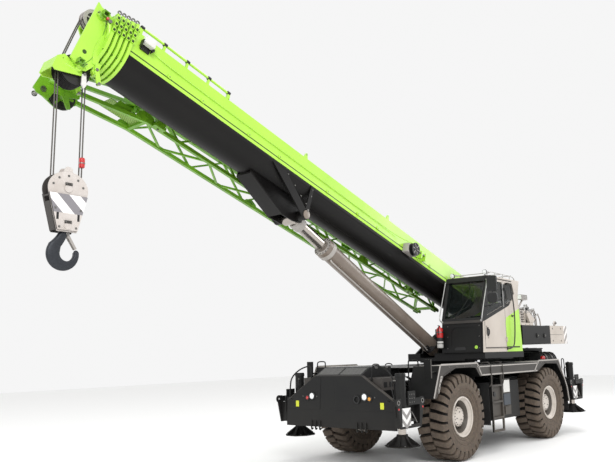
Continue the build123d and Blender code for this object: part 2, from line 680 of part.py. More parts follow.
with BuildPart() as cab_door:
    plate(at_y(cab_out_y), door_shape(0), cab_wall)
    plate(at_y(cab_out_y + 1), door_window, cab_wall + 2, mode=Mode.SUBTRACT)
    # Handle recessed by the front edge
    block(door_front_x - 110, door_front_x - 60, cab_out_y - 20, cab_out_y + 1, 2560, 2760, mode=Mode.SUBTRACT)
    block(door_front_x - 95, door_front_x - 75, cab_out_y - 20, cab_out_y - 2, 2540, 2780)
    for z in hinge_heights:
        block(hinge_x + hinge_pin_r + 2, hinge_x + 50, cab_out_y - 5, cab_out_y + 8, z, z + hinge_length)
        bar((hinge_x, hinge_y, z), (hinge_x, hinge_y, z + hinge_length), hinge_r)
        bar((hinge_x, hinge_y, z), (hinge_x, hinge_y, z + hinge_length), hinge_pin_r + pin_gap,
            mode=Mode.SUBTRACT)
finish("cab_door", cab_door.part)

with BuildPart() as cab_door_glass:
    plate(at_y(cab_out_y - glass_inset), door_window, glass_thick)
finish("cab_door_glass", cab_door_glass.part)

with BuildPart() as cab_glass:
    low, high = windshield_span
    plate(at_y(cab_out_y - pillar), [
        (windshield_x(low) - glass_inset, low), (windshield_x(high) - glass_inset, high),
        (windshield_x(high) - glass_inset - glass_thick, high),
        (windshield_x(low) - glass_inset - glass_thick, low),
    ], cab_out_y - cab_in_y - 2 * pillar)
    plate(at_y(cab_out_y - glass_inset), quarter_window, glass_thick)
    plate(at_y(cab_in_y + glass_inset + glass_thick), far_window, glass_thick)
    low, high = rear_window_span
    block(cab_rear_x + 160, cab_rear_x + 160 + glass_thick, cab_in_y + pillar, cab_out_y - pillar, low, high)
finish("cab_glass", cab_glass.part)

seat_x = cab_front_x - 1280
seat_y = (cab_in_y + cab_out_y) / 2
with BuildPart() as cab_interior:
    floor = cab_low_z + cab_wall
    block(seat_x - 180, seat_x + 180, seat_y - 180, seat_y + 180, floor, floor + 330)
    block(seat_x - 260, seat_x + 260, seat_y - 250, seat_y + 250, floor + 330, floor + 460)
    plate(at_y(seat_y + 240), [
        (seat_x - 130, floor + 440), (seat_x - 250, floor + 1150), (seat_x - 370, floor + 1150),
        (seat_x - 260, floor + 440),
    ], 480)
    for side in (-1, 1):
        y0, y1 = sorted((seat_y + side * 270, seat_y + side * 370))
        block(seat_x - 100, seat_x + 330, y0, y1, floor, floor + 640)
    # Dashboard under the windshield
    plate(at_y(cab_out_y - 150), [
        (cab_front_x - 60, floor), (cab_front_x - 120, floor + 560), (cab_front_x - 420, floor + 640),
        (cab_front_x - 380, floor + 420), (cab_front_x - 260, floor),
    ], cab_out_y - cab_in_y - 300)
finish("cab_interior", cab_interior.part)

# ---- telescopic boom ----
section_step = boom_wall + run_gap   # each section is this much smaller on a side
inner_tail_u = 320


def section_size(index):
    """Half width, top and round centre of a boom section: each rests in the one outside it."""
    half = boom_half - index * section_step
    top = boom_top - index * section_step
    centre = boom_round - index * (section_step - boom_wall - pin_gap)
    return half, top, centre


def boom_profile(plane, half, top, centre, length, mode=Mode.ADD):
    """Box top over a round bottom, pushed along the boom."""
    with BuildSketch(plane) as profile:
        with Locations((0, (top + centre) / 2)):
            Rectangle(2 * half, top - centre)
        with Locations((0, centre)):
            Circle(half)
    extrude(profile.sketch, amount=length, mode=mode)


def boom_tube(index, tail_u, front_u):
    """Tube of one section, with its collar at the front."""
    half, top, centre = section_size(index)
    collar_u = boom_length + index * collar_pitch
    boom_profile(boom_cut(tail_u), half, top, centre, front_u - tail_u)
    boom_profile(boom_cut(collar_u), boom_half + 45 - 10 * index, boom_top + 85 - 14 * index,
                 boom_round - 5, collar_thick)


lift_cheek_in = 160
lift_cheek_out = 190
with BuildPart() as boom_base:
    half, top, centre = section_size(0)
    boom_tube(0, -boom_tail, boom_length + 1)
    for side in (-1, 1):
        low, high = sorted((side * 370, side * (boom_half + 30 - pin_gap)))
        disc(boom_side(high), (0, 0), 190, high - low)
        # Lift bracket: cheek, boss, front strap and rear rib
        low, high = sorted((side * lift_cheek_in, side * lift_cheek_out))
        plate(boom_side(high), [
            (lift_pin_u + 1370, -205), (lift_pin_u + 1370, -290), (lift_pin_u + 420, -660),
            (lift_pin_u + 100, -650), (lift_pin_u - 110, -590), (lift_pin_u - 140, -430), (lift_pin_u - 50, -205),
        ], high - low)
        low, high = sorted((side * lift_cheek_in, side * (boom_half + 20)))
        disc(boom_side(high), (lift_pin_u, lift_pin_w), 95, high - low)
        low, high = sorted((side * (boom_half - 5), side * (boom_half + 20)))
        plate(boom_side(high), [
            (lift_pin_u + 1100, 60), (lift_pin_u + 750, 60), (lift_pin_u - 70, -480), (lift_pin_u + 90, -570),
        ], high - low)
        plate(boom_side(high), [
            (lift_pin_u + 30, 110), (lift_pin_u - 50, 110), (lift_pin_u - 50, -480), (lift_pin_u + 60, -480),
        ], high - low)
    plate(boom_side(lift_cheek_out), [
        (lift_pin_u + 1370, -290), (lift_pin_u + 420, -660), (lift_pin_u + 410, -630), (lift_pin_u + 1370, -250),
    ], 2 * lift_cheek_out)
    boom_profile(boom_cut(-boom_tail - 1), half - boom_wall, top - boom_wall, centre,
                 boom_tail + boom_length + collar_thick + 10, mode=Mode.SUBTRACT)
    bar(on_boom(0, -600, 0), on_boom(0, 600, 0), 70 + pin_gap, mode=Mode.SUBTRACT)
finish("boom_base", boom_base.part)

for index in range(1, section_count - 1):
    half, top, centre = section_size(index)
    with BuildPart() as section:
        boom_tube(index, inner_tail_u + 60 * index, boom_length + index * collar_pitch + 1)
        boom_profile(boom_cut(0), half - boom_wall, top - boom_wall, centre, boom_length * 1.2,
                     mode=Mode.SUBTRACT)
    finish(f"boom_section_{index + 1}", section.part)

# Last section with the head: side plates, pins and cross plates
head_in = 225
head_out = 255
guard_in = 170                       # guards of the lower sheaves
guard_out = 190
head_root_u = boom_length + (section_count - 1) * collar_pitch
jib_lug_u = head_sheave_u - 225
jib_lug_w = -360
upper_sheave_u = head_sheave_u + 5
upper_sheave_w = 480
upper_sheave_r = 160
head_outline = [
    (head_root_u, -250), (head_root_u, 545), (head_sheave_u - 122, 612), (head_sheave_u + 41, 636),
    (head_sheave_u + 108, 681), (head_sheave_u + 184, -401), (head_sheave_u - 37, -488),
    (head_sheave_u - 96, -466),
]
# The far plate is open at the front, where the ropes pass
far_outline = [
    (head_root_u, -250), (head_root_u, 545), (head_sheave_u - 122, 612), (head_sheave_u + 41, 636),
    (head_sheave_u + 60, 400), (head_sheave_u - 60, 250), (head_sheave_u - 100, 100),
    (head_sheave_u - 100, -150), (head_sheave_u - 20, -250), (head_sheave_u + 140, -310),
    (head_sheave_u + 150, -415), (head_sheave_u - 37, -488), (head_sheave_u - 96, -466),
]
guard_outline = [
    (head_sheave_u + 341, -649), (head_sheave_u + 332, -460), (head_sheave_u + 245, -375),
    (head_sheave_u - 72, -465), (head_sheave_u - 89, -535), (head_sheave_u + 284, -679),
]
with BuildPart() as boom_head:
    index = section_count - 1
    half, top, centre = section_size(index)
    boom_tube(index, inner_tail_u + 60 * index, head_root_u + 1)
    boom_profile(boom_cut(0), half - boom_wall, top - boom_wall, centre, head_root_u - 60, mode=Mode.SUBTRACT)
    for side in (-1, 1):
        low, high = sorted((side * head_in, side * head_out))
        plate(boom_side(high), head_outline if side > 0 else far_outline, high - low)
        low, high = sorted((side * head_in, side * (head_out + 35)))
        disc(boom_side(high), (head_sheave_u, head_sheave_w + 55), 60, high - low)
        disc(boom_side(high), (upper_sheave_u, upper_sheave_w), 55, high - low)
        low, high = sorted((side * guard_in, side * guard_out))
        plate(boom_side(high), guard_outline, high - low)
        # The guard hangs on the side plate
        low, high = sorted((side * guard_in, side * head_out))
        plate(boom_side(high), [
            (head_sheave_u - 60, -470), (head_sheave_u - 60, -440), (head_sheave_u + 130, -380),
            (head_sheave_u + 130, -415),
        ], high - low)
        # Lugs for the jib's pins
        low, high = sorted((side * (head_out - 60), side * head_out))
        plate(boom_side(high), [
            (jib_lug_u - 50, -230), (jib_lug_u + 50, -230), (jib_lug_u + 50, -400), (jib_lug_u, -440),
            (jib_lug_u - 50, -400),
        ], high - low)
        disc(boom_side(high), (jib_lug_u, jib_lug_w), 25, high - low, mode=Mode.SUBTRACT)
    plate(boom_side(head_in + 5), [
        (head_root_u + 20, 60), (head_sheave_u - 110, 60), (head_sheave_u - 110, 90), (head_root_u + 20, 90),
    ], 2 * head_in + 10)
    plate(boom_cut(head_sheave_u + 323), [
        (-guard_out, -650), (guard_out, -650), (guard_out, -470), (-guard_out, -470),
    ], 12)
    bar(on_boom(head_sheave_u, -head_in - 5, head_sheave_w), on_boom(head_sheave_u, head_in + 5, head_sheave_w), 45)
    bar(on_boom(upper_sheave_u, -head_in - 5, upper_sheave_w),
        on_boom(upper_sheave_u, head_in + 5, upper_sheave_w), 45)
finish("boom_head", boom_head.part)

sheave_half = 22
rope_r = 10
groove_floor = sheave_r - 30
fall_spacing = 76                    # across the machine, one fall to the next
fall_y = (-fall_spacing / 2, fall_spacing / 2)


def sheave(origin, r, bore):
    """Grooved sheave on an axis across the machine."""
    middle = Plane(origin=origin, x_dir=(0, 1, 0), z_dir=(1, 0, 0))
    with BuildSketch(middle) as profile:
        with BuildLine():
            Polyline(
                (-sheave_half, bore), (-sheave_half, r), (-14, r), (-14, r - 30), (14, r - 30), (14, r),
                (sheave_half, r), (sheave_half, bore), close=True)
        make_face()
    revolve(profile.sketch, axis=Axis(origin, (0, 1, 0)))


with BuildPart() as head_sheaves:
    for y in (-3 * fall_spacing / 2, *fall_y, 3 * fall_spacing / 2):
        sheave(on_boom(head_sheave_u, y, head_sheave_w), sheave_r, 45 + pin_gap)
    for y in fall_y:
        sheave(on_boom(upper_sheave_u, y, upper_sheave_w), upper_sheave_r, 45 + pin_gap)
finish("head_sheaves", head_sheaves.part)

# ---- rail, lamps and brackets on the base section ----
with BuildPart() as boom_fittings:
    rail_y = boom_half - 20
    rail_w = boom_top + 120
    rail_front_u = boom_length - 50
    rail_length = 1900
    bar(on_boom(rail_front_u - rail_length, rail_y, rail_w), on_boom(rail_front_u, rail_y, rail_w), 22)
    for u in (rail_front_u - rail_length + 30, rail_front_u - rail_length / 2, rail_front_u - 30):
        square_bar(on_boom(u, rail_y, boom_top), on_boom(u, rail_y, rail_w), 40)
    plate(boom_side(boom_half + 150), [
        (rail_front_u - 220, 400), (rail_front_u - 50, 400), (rail_front_u - 50, 530), (rail_front_u - 220, 530),
    ], 150)
    plate(boom_side(boom_half + 230), [(3900, 80), (4300, 80), (4300, 330), (3900, 330)], 230)
    disc(boom_side(boom_half + 265), (4100, 205), 150, 36)
    plate(boom_side(boom_half + 110), [(3420, 150), (3700, 150), (3700, 420), (3420, 420)], 110)
    for u in (7650, 4900):
        plate(boom_side(rail_y + 20), [(u, boom_top), (u + 90, boom_top), (u + 60, boom_top + 110),
                                      (u + 20, boom_top + 110)], 40)
finish("boom_fittings", boom_fittings.part)

# ---- lattice jib stowed along the base section's right side ----
jib_near = -510
jib_far = -1060
jib_low = -160
jib_high = 330
jib_tail_u = 1500
jib_bend_u = boom_length - 1100      # the nose section starts
jib_nose_u = boom_length + 550
jib_sheave_u = boom_length + 230
jib_sheave_w = -470
jib_panels = 13
chord = 64
lace = 34
pitch = (jib_bend_u - jib_tail_u) / jib_panels
with BuildPart() as jib:
    bars = []
    chords = ((jib_near, jib_low), (jib_far, jib_low), (jib_far, jib_high), (jib_near, jib_high))
    # Nose ends of the chords, in the same order
    nose = ((-640, -430), (-900, -430), (-900, -190), (-640, -190))
    for (y, w), (nose_y, nose_w) in zip(chords, nose):
        square_bar(on_boom(jib_tail_u - 40, y, w), on_boom(jib_bend_u + 10, y, w), chord)
        square_bar(on_boom(jib_bend_u, y, w), on_boom(jib_nose_u, nose_y, nose_w), chord)
    for a, b in zip(chords, chords[1:] + chords[:1]):
        square_bar(on_boom(jib_tail_u, *a), on_boom(jib_tail_u, *b), chord - 8, side=boom_dir)
        square_bar(on_boom(jib_bend_u, *a), on_boom(jib_bend_u, *b), chord - 8, side=boom_dir)
        for panel in range(jib_panels):
            u = jib_tail_u + panel * pitch
            start, end = (a, b) if panel % 2 else (b, a)
            square_bar(on_boom(u, *start), on_boom(u + pitch, *end), lace, side=boom_dir)
    # Nose: the far plate, and the near one with three arms round the sheave's pin
    plate(boom_side(-888), [
        (boom_length - 60, -420), (boom_length - 60, -100), (jib_nose_u - 80, 0), (jib_nose_u + 20, -48),
        (jib_nose_u + 90, -525), (jib_nose_u - 90, -570), (jib_nose_u - 350, -640),
    ], 24)
    plate(boom_side(-628), [
        (jib_nose_u + 8, -151), (jib_nose_u + 106, -201), (jib_nose_u + 173, -640), (jib_nose_u + 110, -700),
        (jib_nose_u - 94, -718), (jib_nose_u - 130, -560), (jib_sheave_u + 60, -530), (jib_sheave_u - 90, -690),
        (jib_sheave_u - 140, -660), (jib_sheave_u - 50, -500), (jib_sheave_u - 210, -420),
        (jib_sheave_u - 195, -345), (jib_sheave_u, -410), (jib_sheave_u + 130, -300),
    ], 24)
    bar(on_boom(jib_sheave_u, -910, jib_sheave_w), on_boom(jib_sheave_u, -620, jib_sheave_w), 40)
    plate(boom_side(-560), [
        (jib_bend_u + 650, -280), (jib_bend_u + 526, -66), (jib_bend_u + 270, -72), (jib_bend_u + 328, -250),
    ], 16)
    # Brackets onto the base section's side
    for u in (jib_tail_u + 1100, (jib_tail_u + jib_bend_u) / 2 + 850, jib_bend_u - 300):
        plate(boom_side(-boom_half), [(u, jib_low - 20), (u + 160, jib_low - 20), (u + 160, jib_high), (u, jib_high)],
              -jib_near - boom_half)
finish("jib", jib.part)

with BuildPart() as jib_sheave:
    sheave(on_boom(jib_sheave_u, -770, jib_sheave_w), 215, 40 + pin_gap)
finish("jib_sheave", jib_sheave.part)

# ---- lift cylinder ----
lift_foot = Vector(lift_foot_x, 0, lift_foot_z)
lift_top = on_boom(lift_pin_u, 0, lift_pin_w)
lift_run = (lift_top - lift_foot)
lift_dir = lift_run.normalized()


def on_lift(distance):
    """Point along the lift cylinder from its foot."""
    return lift_foot + lift_dir * distance


with BuildPart() as lift_barrel:
    bar(on_lift(60), on_lift(lift_barrel_length), lift_barrel_r)
    bar(on_lift(lift_barrel_length - 160), on_lift(lift_barrel_length + 30), lift_barrel_r + 22)
    bar(lift_foot - Vector(0, 150, 0), lift_foot + Vector(0, 150, 0), 120)
    bar(on_lift(300), on_lift(lift_barrel_length + 40), lift_bore_r, mode=Mode.SUBTRACT)
    bar(on_lift(lift_barrel_length - 130), on_lift(lift_barrel_length + 30), lift_barrel_r + 22)
    bar(on_lift(lift_barrel_length - 140), on_lift(lift_barrel_length + 40), lift_rod_r + pin_gap,
        mode=Mode.SUBTRACT)
    bar(lift_foot - Vector(0, 160, 0), lift_foot + Vector(0, 160, 0), 60 + pin_gap, mode=Mode.SUBTRACT)
finish("lift_barrel", lift_barrel.part)

lift_eye_half = lift_cheek_in - pin_gap
rod_length = 3700
with BuildPart() as lift_rod:
    bar(on_lift(lift_run.length - rod_length), on_lift(lift_run.length - 60), lift_rod_r)
    bar(lift_top - Vector(0, lift_eye_half, 0), lift_top + Vector(0, lift_eye_half, 0), 140)
finish("lift_rod", lift_rod.part)

# ---- falls, hook block and hook ----
head_axis = on_boom(head_sheave_u, 0, head_sheave_w)
fall_x = groove_floor + rope_r + 0.5
with BuildPart() as hoist_falls:
    for y in fall_y:
        for x in (-fall_x, fall_x):
            bar((head_axis.X + x, y, block_z), (head_axis.X + x, y, head_axis.Z), rope_r)
finish("hoist_falls", hoist_falls.part)

cheek_in = fall_spacing / 2 + sheave_half + 4
cheek_out = cheek_in + 20
trunnion_z = block_z - 540
with BuildPart() as hook_block:
    middle = (head_axis.X, 0, block_z)
    for side in (-1, 1):
        low, high = sorted((side * cheek_in, side * cheek_out))
        with BuildSketch(Plane(origin=(head_axis.X, high, block_z), x_dir=(1, 0, 0), z_dir=(0, -1, 0))) as cheek:
            with BuildLine():
                Polyline((295, -60), (150, -620), (-150, -620), (-295, -60))
                ThreePointArc((-295, -60), (0, 301), (295, -60))
            make_face()
        extrude(cheek.sketch, amount=high - low)
        low, high = sorted((side * (cheek_out - 1), side * (cheek_out + 24)))
        with BuildSketch(Plane(origin=(head_axis.X, high, block_z), x_dir=(1, 0, 0), z_dir=(0, -1, 0))) as weight:
            with BuildLine():
                Polyline((285, -90), (150, -600), (-150, -600), (-285, -90), close=True)
            make_face()
        extrude(weight.sketch, amount=high - low)
    bar((head_axis.X, -cheek_in - 2, block_z), (head_axis.X, cheek_in + 2, block_z), 45)
    block(head_axis.X - 110, head_axis.X + 110, -cheek_in - 2, cheek_in + 2, trunnion_z - 50, trunnion_z + 50)
    for x in (-270, 270):
        bar((head_axis.X + x, -cheek_in - 2, block_z - 120), (head_axis.X + x, cheek_in + 2, block_z - 120), 14)
    bar((head_axis.X, 0, trunnion_z - 60), (head_axis.X, 0, trunnion_z + 60), 42 + pin_gap, mode=Mode.SUBTRACT)
    for y in fall_y:
        sheave((head_axis.X, y, block_z), sheave_r, 45 + pin_gap)
finish("hook_block", hook_block.part)

with BuildPart() as hook:
    face = Plane(origin=(head_axis.X, 0, hook_z), x_dir=(1, 0, 0), z_dir=(0, -1, 0))
    with BuildSketch(face) as bowl:
        Circle(238)
        with Locations((8, 12)):
            Circle(112, mode=Mode.SUBTRACT)
        with BuildLine():
            Polyline((-50, 60), (-50, 300), (-300, 300), (-300, 95), (-100, 60), close=True)
        make_face(mode=Mode.SUBTRACT)
        with BuildLine():
            Polyline((-52, 330), (-60, 180), (150, 150), (70, 250), (52, 330), close=True)
        make_face()
    extrude(bowl.sketch, amount=52, both=True)
    bar((head_axis.X, 0, hook_z + 325), (head_axis.X, 0, trunnion_z + 120), 42)
    bar((head_axis.X, 0, trunnion_z + 50 + pin_gap), (head_axis.X, 0, trunnion_z + 120), 58)
finish("hook", hook.part)

# ---- mirrors, lamps and rails ----
with BuildPart() as carrier_fittings:
    for side in (-1, 1):
        # Headlamp pair on the front plate
        disc(at_x(plate_x), (side * 680, 1385), 70, 45)
        disc(at_x(plate_x), (side * 810, 1350), 45, 30)
finish("carrier_fittings", carrier_fittings.part)

with BuildPart() as cab_fittings:
    # Curved handrail behind the door, mirrors ahead of it, and roof lamps
    rail_x = door_rear_x - 160
    rail_y = cab_out_y + 60
    bar((rail_x, rail_y, cab_low_z + 100), (rail_x, rail_y, cab_top_z - 60), 16)
    for z in (cab_low_z + 120, cab_top_z - 80):
        bar((rail_x, cab_out_y, z), (rail_x, rail_y, z), 12)
    mirror_x = windshield_x(3320) - 60
    post_x = windshield_x(3600) - 50
    bar((post_x, cab_out_y, 3600), (post_x, cab_out_y + 60, 3600), 12)
    square_bar((post_x - 12, cab_out_y + 60, 3600), (mirror_x + 10, cab_out_y + 60, 3600), 24)
    block(mirror_x, mirror_x + 40, cab_out_y + 20, body_half - 10, 3520, 3880)
    block(mirror_x + 8, mirror_x + 32, cab_out_y + 50, cab_out_y + 70, 3470, 3530)
    with BuildSketch(at_x(mirror_x + 40)) as wide_mirror:
        with Locations(((cab_out_y + body_half + 10) / 2, 3390)):
            RectangleRounded(body_half - cab_out_y - 30, 190, 40)
    extrude(wide_mirror.sketch, amount=-40)
    for y in (cab_in_y + 120, cab_out_y - 120):
        block(brow_x - 120, brow_x - 40, y - 60, y + 60, roof_z(brow_x - 40), cab_top_z + 110)
    # Low rails round the roof
    for y in (cab_in_y + 60, cab_out_y - 80):
        bar((brow_x - 250, y, cab_top_z + 90), (cab_rear_x + 200, y, cab_top_z + 90), 14)
        for x in (brow_x - 270, cab_rear_x + 220, (brow_x + cab_rear_x) / 2):
            bar((x, y, roof_z(x + 14)), (x, y, cab_top_z + 100), 14)
finish("cab_fittings", cab_fittings.part)
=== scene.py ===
import json
import math
import bmesh
import bpy
from mathutils import Matrix, Vector

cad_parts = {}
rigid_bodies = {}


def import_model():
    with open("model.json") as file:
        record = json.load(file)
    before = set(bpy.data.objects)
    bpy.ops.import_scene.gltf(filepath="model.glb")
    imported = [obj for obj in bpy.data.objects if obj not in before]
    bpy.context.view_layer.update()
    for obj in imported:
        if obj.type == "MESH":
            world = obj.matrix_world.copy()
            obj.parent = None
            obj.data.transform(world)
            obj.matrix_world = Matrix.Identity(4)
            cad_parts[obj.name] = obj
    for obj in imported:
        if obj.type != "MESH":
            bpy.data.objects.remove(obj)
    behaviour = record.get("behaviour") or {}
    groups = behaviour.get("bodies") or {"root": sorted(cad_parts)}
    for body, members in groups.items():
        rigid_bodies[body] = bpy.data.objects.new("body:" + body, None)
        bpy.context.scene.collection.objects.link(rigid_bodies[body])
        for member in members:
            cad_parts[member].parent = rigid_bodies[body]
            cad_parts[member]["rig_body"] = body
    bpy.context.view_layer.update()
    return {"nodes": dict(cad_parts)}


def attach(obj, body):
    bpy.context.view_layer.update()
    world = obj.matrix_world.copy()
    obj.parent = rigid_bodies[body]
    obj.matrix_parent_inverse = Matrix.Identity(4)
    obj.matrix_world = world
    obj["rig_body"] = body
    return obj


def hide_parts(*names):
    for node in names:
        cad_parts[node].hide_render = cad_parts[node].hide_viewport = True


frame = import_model()

# the machine's own measures, in metres, as the frame has them
machine = {
    "frontAxleX": -0.797,
    "rearAxleX": -5.097,
    "slewX": -2.947,
    "tyreRadius": 0.875,
    "trackHalf": 1.3125,
    "bodyHalf": 1.65,
    "plateX": 1.303,
    "tailX": -7.197,
    "boomAngle": math.radians(18.2),
    "boomFoot": Vector((-4.597, 0, 3.0)),
}
frontX = machine["frontAxleX"]
rearX = machine["rearAxleX"]
boomDir = Vector((math.cos(machine["boomAngle"]), 0, math.sin(machine["boomAngle"])))
boomUp = Vector((-math.sin(machine["boomAngle"]), 0, math.cos(machine["boomAngle"])))
boomSpace = Matrix((
    (boomDir.x, 0, boomUp.x, machine["boomFoot"].x),
    (0, 1, 0, 0),
    (boomDir.z, 0, boomUp.z, machine["boomFoot"].z),
    (0, 0, 0, 1),
))  # from (along the boom, left, up from the foot pin) to the frame


def onBoom(u, y, w):
    return boomSpace @ Vector((u, y, w))


def boomPath(*points):
    return [onBoom(*point) for point in points]


# procedural materials

def srgb(hexText):
    values = [int(hexText[i:i + 2], 16) / 255 for i in (1, 3, 5)]
    return tuple(v / 12.92 if v <= 0.04045 else ((v + 0.055) / 1.055) ** 2.4 for v in values) + (1.0,)


def addNode(tree, kind, settings=None, links=None):
    node = tree.nodes.new(kind)
    for name, value in (settings or {}).items():
        if isinstance(name, int) or name in node.inputs:
            node.inputs[name].default_value = value
        else:
            setattr(node, name, value)
    for name, source in (links or {}).items():
        tree.links.new(source, node.inputs[name])
    return node


def emptyMaterial(name):
    material = bpy.data.materials.new(name)
    material.use_nodes = True
    tree = material.node_tree
    tree.nodes.clear()
    output = addNode(tree, "ShaderNodeOutputMaterial")
    return material, tree, output


def perMetre(millimetres):
    return 1000.0 / millimetres  # noise scale for a feature of this size


def colourRamp(tree, source, stops):
    ramp = addNode(tree, "ShaderNodeValToRGB", links={"Fac": source})
    elements = ramp.color_ramp.elements
    for element, (place, colour) in zip(elements, stops):
        element.position = place
        element.color = colour
    for place, colour in stops[2:]:
        elements.new(place).color = colour
    return ramp.outputs["Color"]


def mixColour(tree, factor, first, second, blend="MIX"):
    node = addNode(tree, "ShaderNodeMix", {"data_type": "RGBA", "blend_type": blend})
    for socket, value in ((node.inputs[0], factor), (node.inputs[6], first), (node.inputs[7], second)):
        if isinstance(value, bpy.types.NodeSocket):
            tree.links.new(value, socket)
        else:
            socket.default_value = value
    return node.outputs[2]


def paintMaterial(name, base, dusty, roughness=0.35, coat=0.3, patchMm=700, dustHeight=None, dustHex="#6f6558",
                  specular=0.5,
                  metallic=0.0, grainMm=18, grainDepth=0.05):
    # enamel with patches of another tone; the grain is drawn far coarser than real orange peel so that it shows
    material, tree, output = emptyMaterial(name)
    place = addNode(tree, "ShaderNodeTexCoord").outputs["Object"]
    patches = addNode(tree, "ShaderNodeTexNoise", {"Scale": perMetre(patchMm), "Detail": 5.0, "Roughness": 0.6},
                      {"Vector": place})
    spread = addNode(tree, "ShaderNodeMapRange", {"From Min": 0.35, "From Max": 0.7}, {"Value": patches.outputs["Fac"]})
    colour = mixColour(tree, spread.outputs["Result"], srgb(base), srgb(dusty))
    if dustHeight:
        # dust thrown up from the road, thickest low down
        split = addNode(tree, "ShaderNodeSeparateXYZ", links={"Vector": place})
        low = addNode(tree, "ShaderNodeMapRange", {"From Min": 0.2, "From Max": dustHeight, "To Min": 0.55,
                                                   "To Max": 0.0},
                      {"Value": split.outputs["Z"]})
        breakUp = addNode(tree, "ShaderNodeTexNoise", {"Scale": perMetre(260), "Detail": 8.0, "Roughness": 0.7},
                          {"Vector": place})
        dust = addNode(tree, "ShaderNodeMath", {"operation": "MULTIPLY", "use_clamp": True},
                       {0: low.outputs["Result"], 1: breakUp.outputs["Fac"]})
        colour = mixColour(tree, dust.outputs["Value"], colour, srgb(dustHex))
    fine = addNode(tree, "ShaderNodeTexNoise", {"Scale": perMetre(grainMm), "Detail": 3.0}, {"Vector": place})
    gloss = addNode(tree, "ShaderNodeMapRange", {"To Min": roughness - 0.06, "To Max": roughness + 0.1},
                    {"Value": patches.outputs["Fac"]})
    bump = addNode(tree, "ShaderNodeBump", {"Strength": grainDepth, "Distance": 0.002}, {"Height": fine.outputs["Fac"]})
    shader = addNode(tree, "ShaderNodeBsdfPrincipled",
                     {"Metallic": metallic, "Coat Weight": coat, "Coat Roughness": 0.12,
                      "Specular IOR Level": specular},
                     {"Base Color": colour, "Roughness": gloss.outputs["Result"], "Normal": bump.outputs["Normal"]})
    tree.links.new(shader.outputs["BSDF"], output.inputs["Surface"])
    return material


def plainMaterial(name, base, roughness=0.5, metallic=0.0, coat=0.0, variation=0.12, grainMm=40, grainDepth=0.0):
    # one finish with slight blotches; the dark tone is a share of the base
    material, tree, output = emptyMaterial(name)
    place = addNode(tree, "ShaderNodeTexCoord").outputs["Object"]
    blotch = addNode(tree, "ShaderNodeTexNoise", {"Scale": perMetre(grainMm), "Detail": 4.0}, {"Vector": place})
    full = srgb(base)
    dark = tuple(c * (1 - 2 * variation) for c in full[:3]) + (1.0,)
    colour = mixColour(tree, blotch.outputs["Fac"], dark, full)
    settings = {"Roughness": roughness, "Metallic": metallic, "Coat Weight": coat}
    shader = addNode(tree, "ShaderNodeBsdfPrincipled", settings, {"Base Color": colour})
    if grainDepth:
        bump = addNode(tree, "ShaderNodeBump", {"Strength": grainDepth, "Distance": 0.002},
                       {"Height": blotch.outputs["Fac"]})
        tree.links.new(bump.outputs["Normal"], shader.inputs["Normal"])
    tree.links.new(shader.outputs["BSDF"], output.inputs["Surface"])
    return material


def rubberMaterial(name, low, high):
    # carbon-black rubber, greyed and browned by dried earth, most of it low in the tread
    material, tree, output = emptyMaterial(name)
    place = addNode(tree, "ShaderNodeTexCoord").outputs["Object"]
    earth = addNode(tree, "ShaderNodeTexNoise", {"Scale": perMetre(60), "Detail": 8.0, "Roughness": 0.65},
                    {"Vector": place})
    grit = addNode(tree, "ShaderNodeTexNoise", {"Scale": perMetre(14), "Detail": 4.0}, {"Vector": place})
    colour = colourRamp(tree, earth.outputs["Fac"], [(0.3, srgb(low)), (0.7, srgb(high))])
    colour = mixColour(tree, 0.25, colour, grit.outputs["Color"], "SOFT_LIGHT")
    bump = addNode(tree, "ShaderNodeBump", {"Strength": 0.25, "Distance": 0.003}, {"Height": grit.outputs["Fac"]})
    shader = addNode(tree, "ShaderNodeBsdfPrincipled", {"Roughness": 0.82, "Specular IOR Level": 0.35},
                     {"Base Color": colour, "Normal": bump.outputs["Normal"]})
    tree.links.new(shader.outputs["BSDF"], output.inputs["Surface"])
    return material


def glassMaterial(name, tint, roughness=0.03):
    # tinted safety glass: thin, so it is a clear coat over a see-through body
    material, tree, output = emptyMaterial(name)
    shader = addNode(tree, "ShaderNodeBsdfPrincipled",
                     {"Base Color": srgb(tint), "Roughness": roughness, "IOR": 1.5, "Alpha": 0.42,
                      "Specular IOR Level": 0.8})
    tree.links.new(shader.outputs["BSDF"], output.inputs["Surface"])
    return material


def hatchMaterial(name, first, second, pitchMm, axes, offset=0.0, slope=1.0):
    # diagonal warning bands across two axes of the object
    material, tree, output = emptyMaterial(name)
    place = addNode(tree, "ShaderNodeTexCoord").outputs["Object"]
    split = addNode(tree, "ShaderNodeSeparateXYZ", links={"Vector": place})
    along, up = axes
    sloped = addNode(tree, "ShaderNodeMath", {"operation": "MULTIPLY_ADD", 1: slope, 2: offset},
                     {0: split.outputs[up]})
    total = addNode(tree, "ShaderNodeMath", {"operation": "ADD"}, {0: split.outputs[along], 1: sloped.outputs["Value"]})
    wave = addNode(tree, "ShaderNodeMath", {"operation": "PINGPONG", 1: pitchMm / 1000}, {0: total.outputs["Value"]})
    band = addNode(tree, "ShaderNodeMath", {"operation": "GREATER_THAN", 1: pitchMm / 2000}, {0: wave.outputs["Value"]})
    colour = mixColour(tree, band.outputs["Value"], srgb(first), srgb(second))
    shader = addNode(tree, "ShaderNodeBsdfPrincipled", {"Roughness": 0.42, "Coat Weight": 0.2}, {"Base Color": colour})
    tree.links.new(shader.outputs["BSDF"], output.inputs["Surface"])
    return material


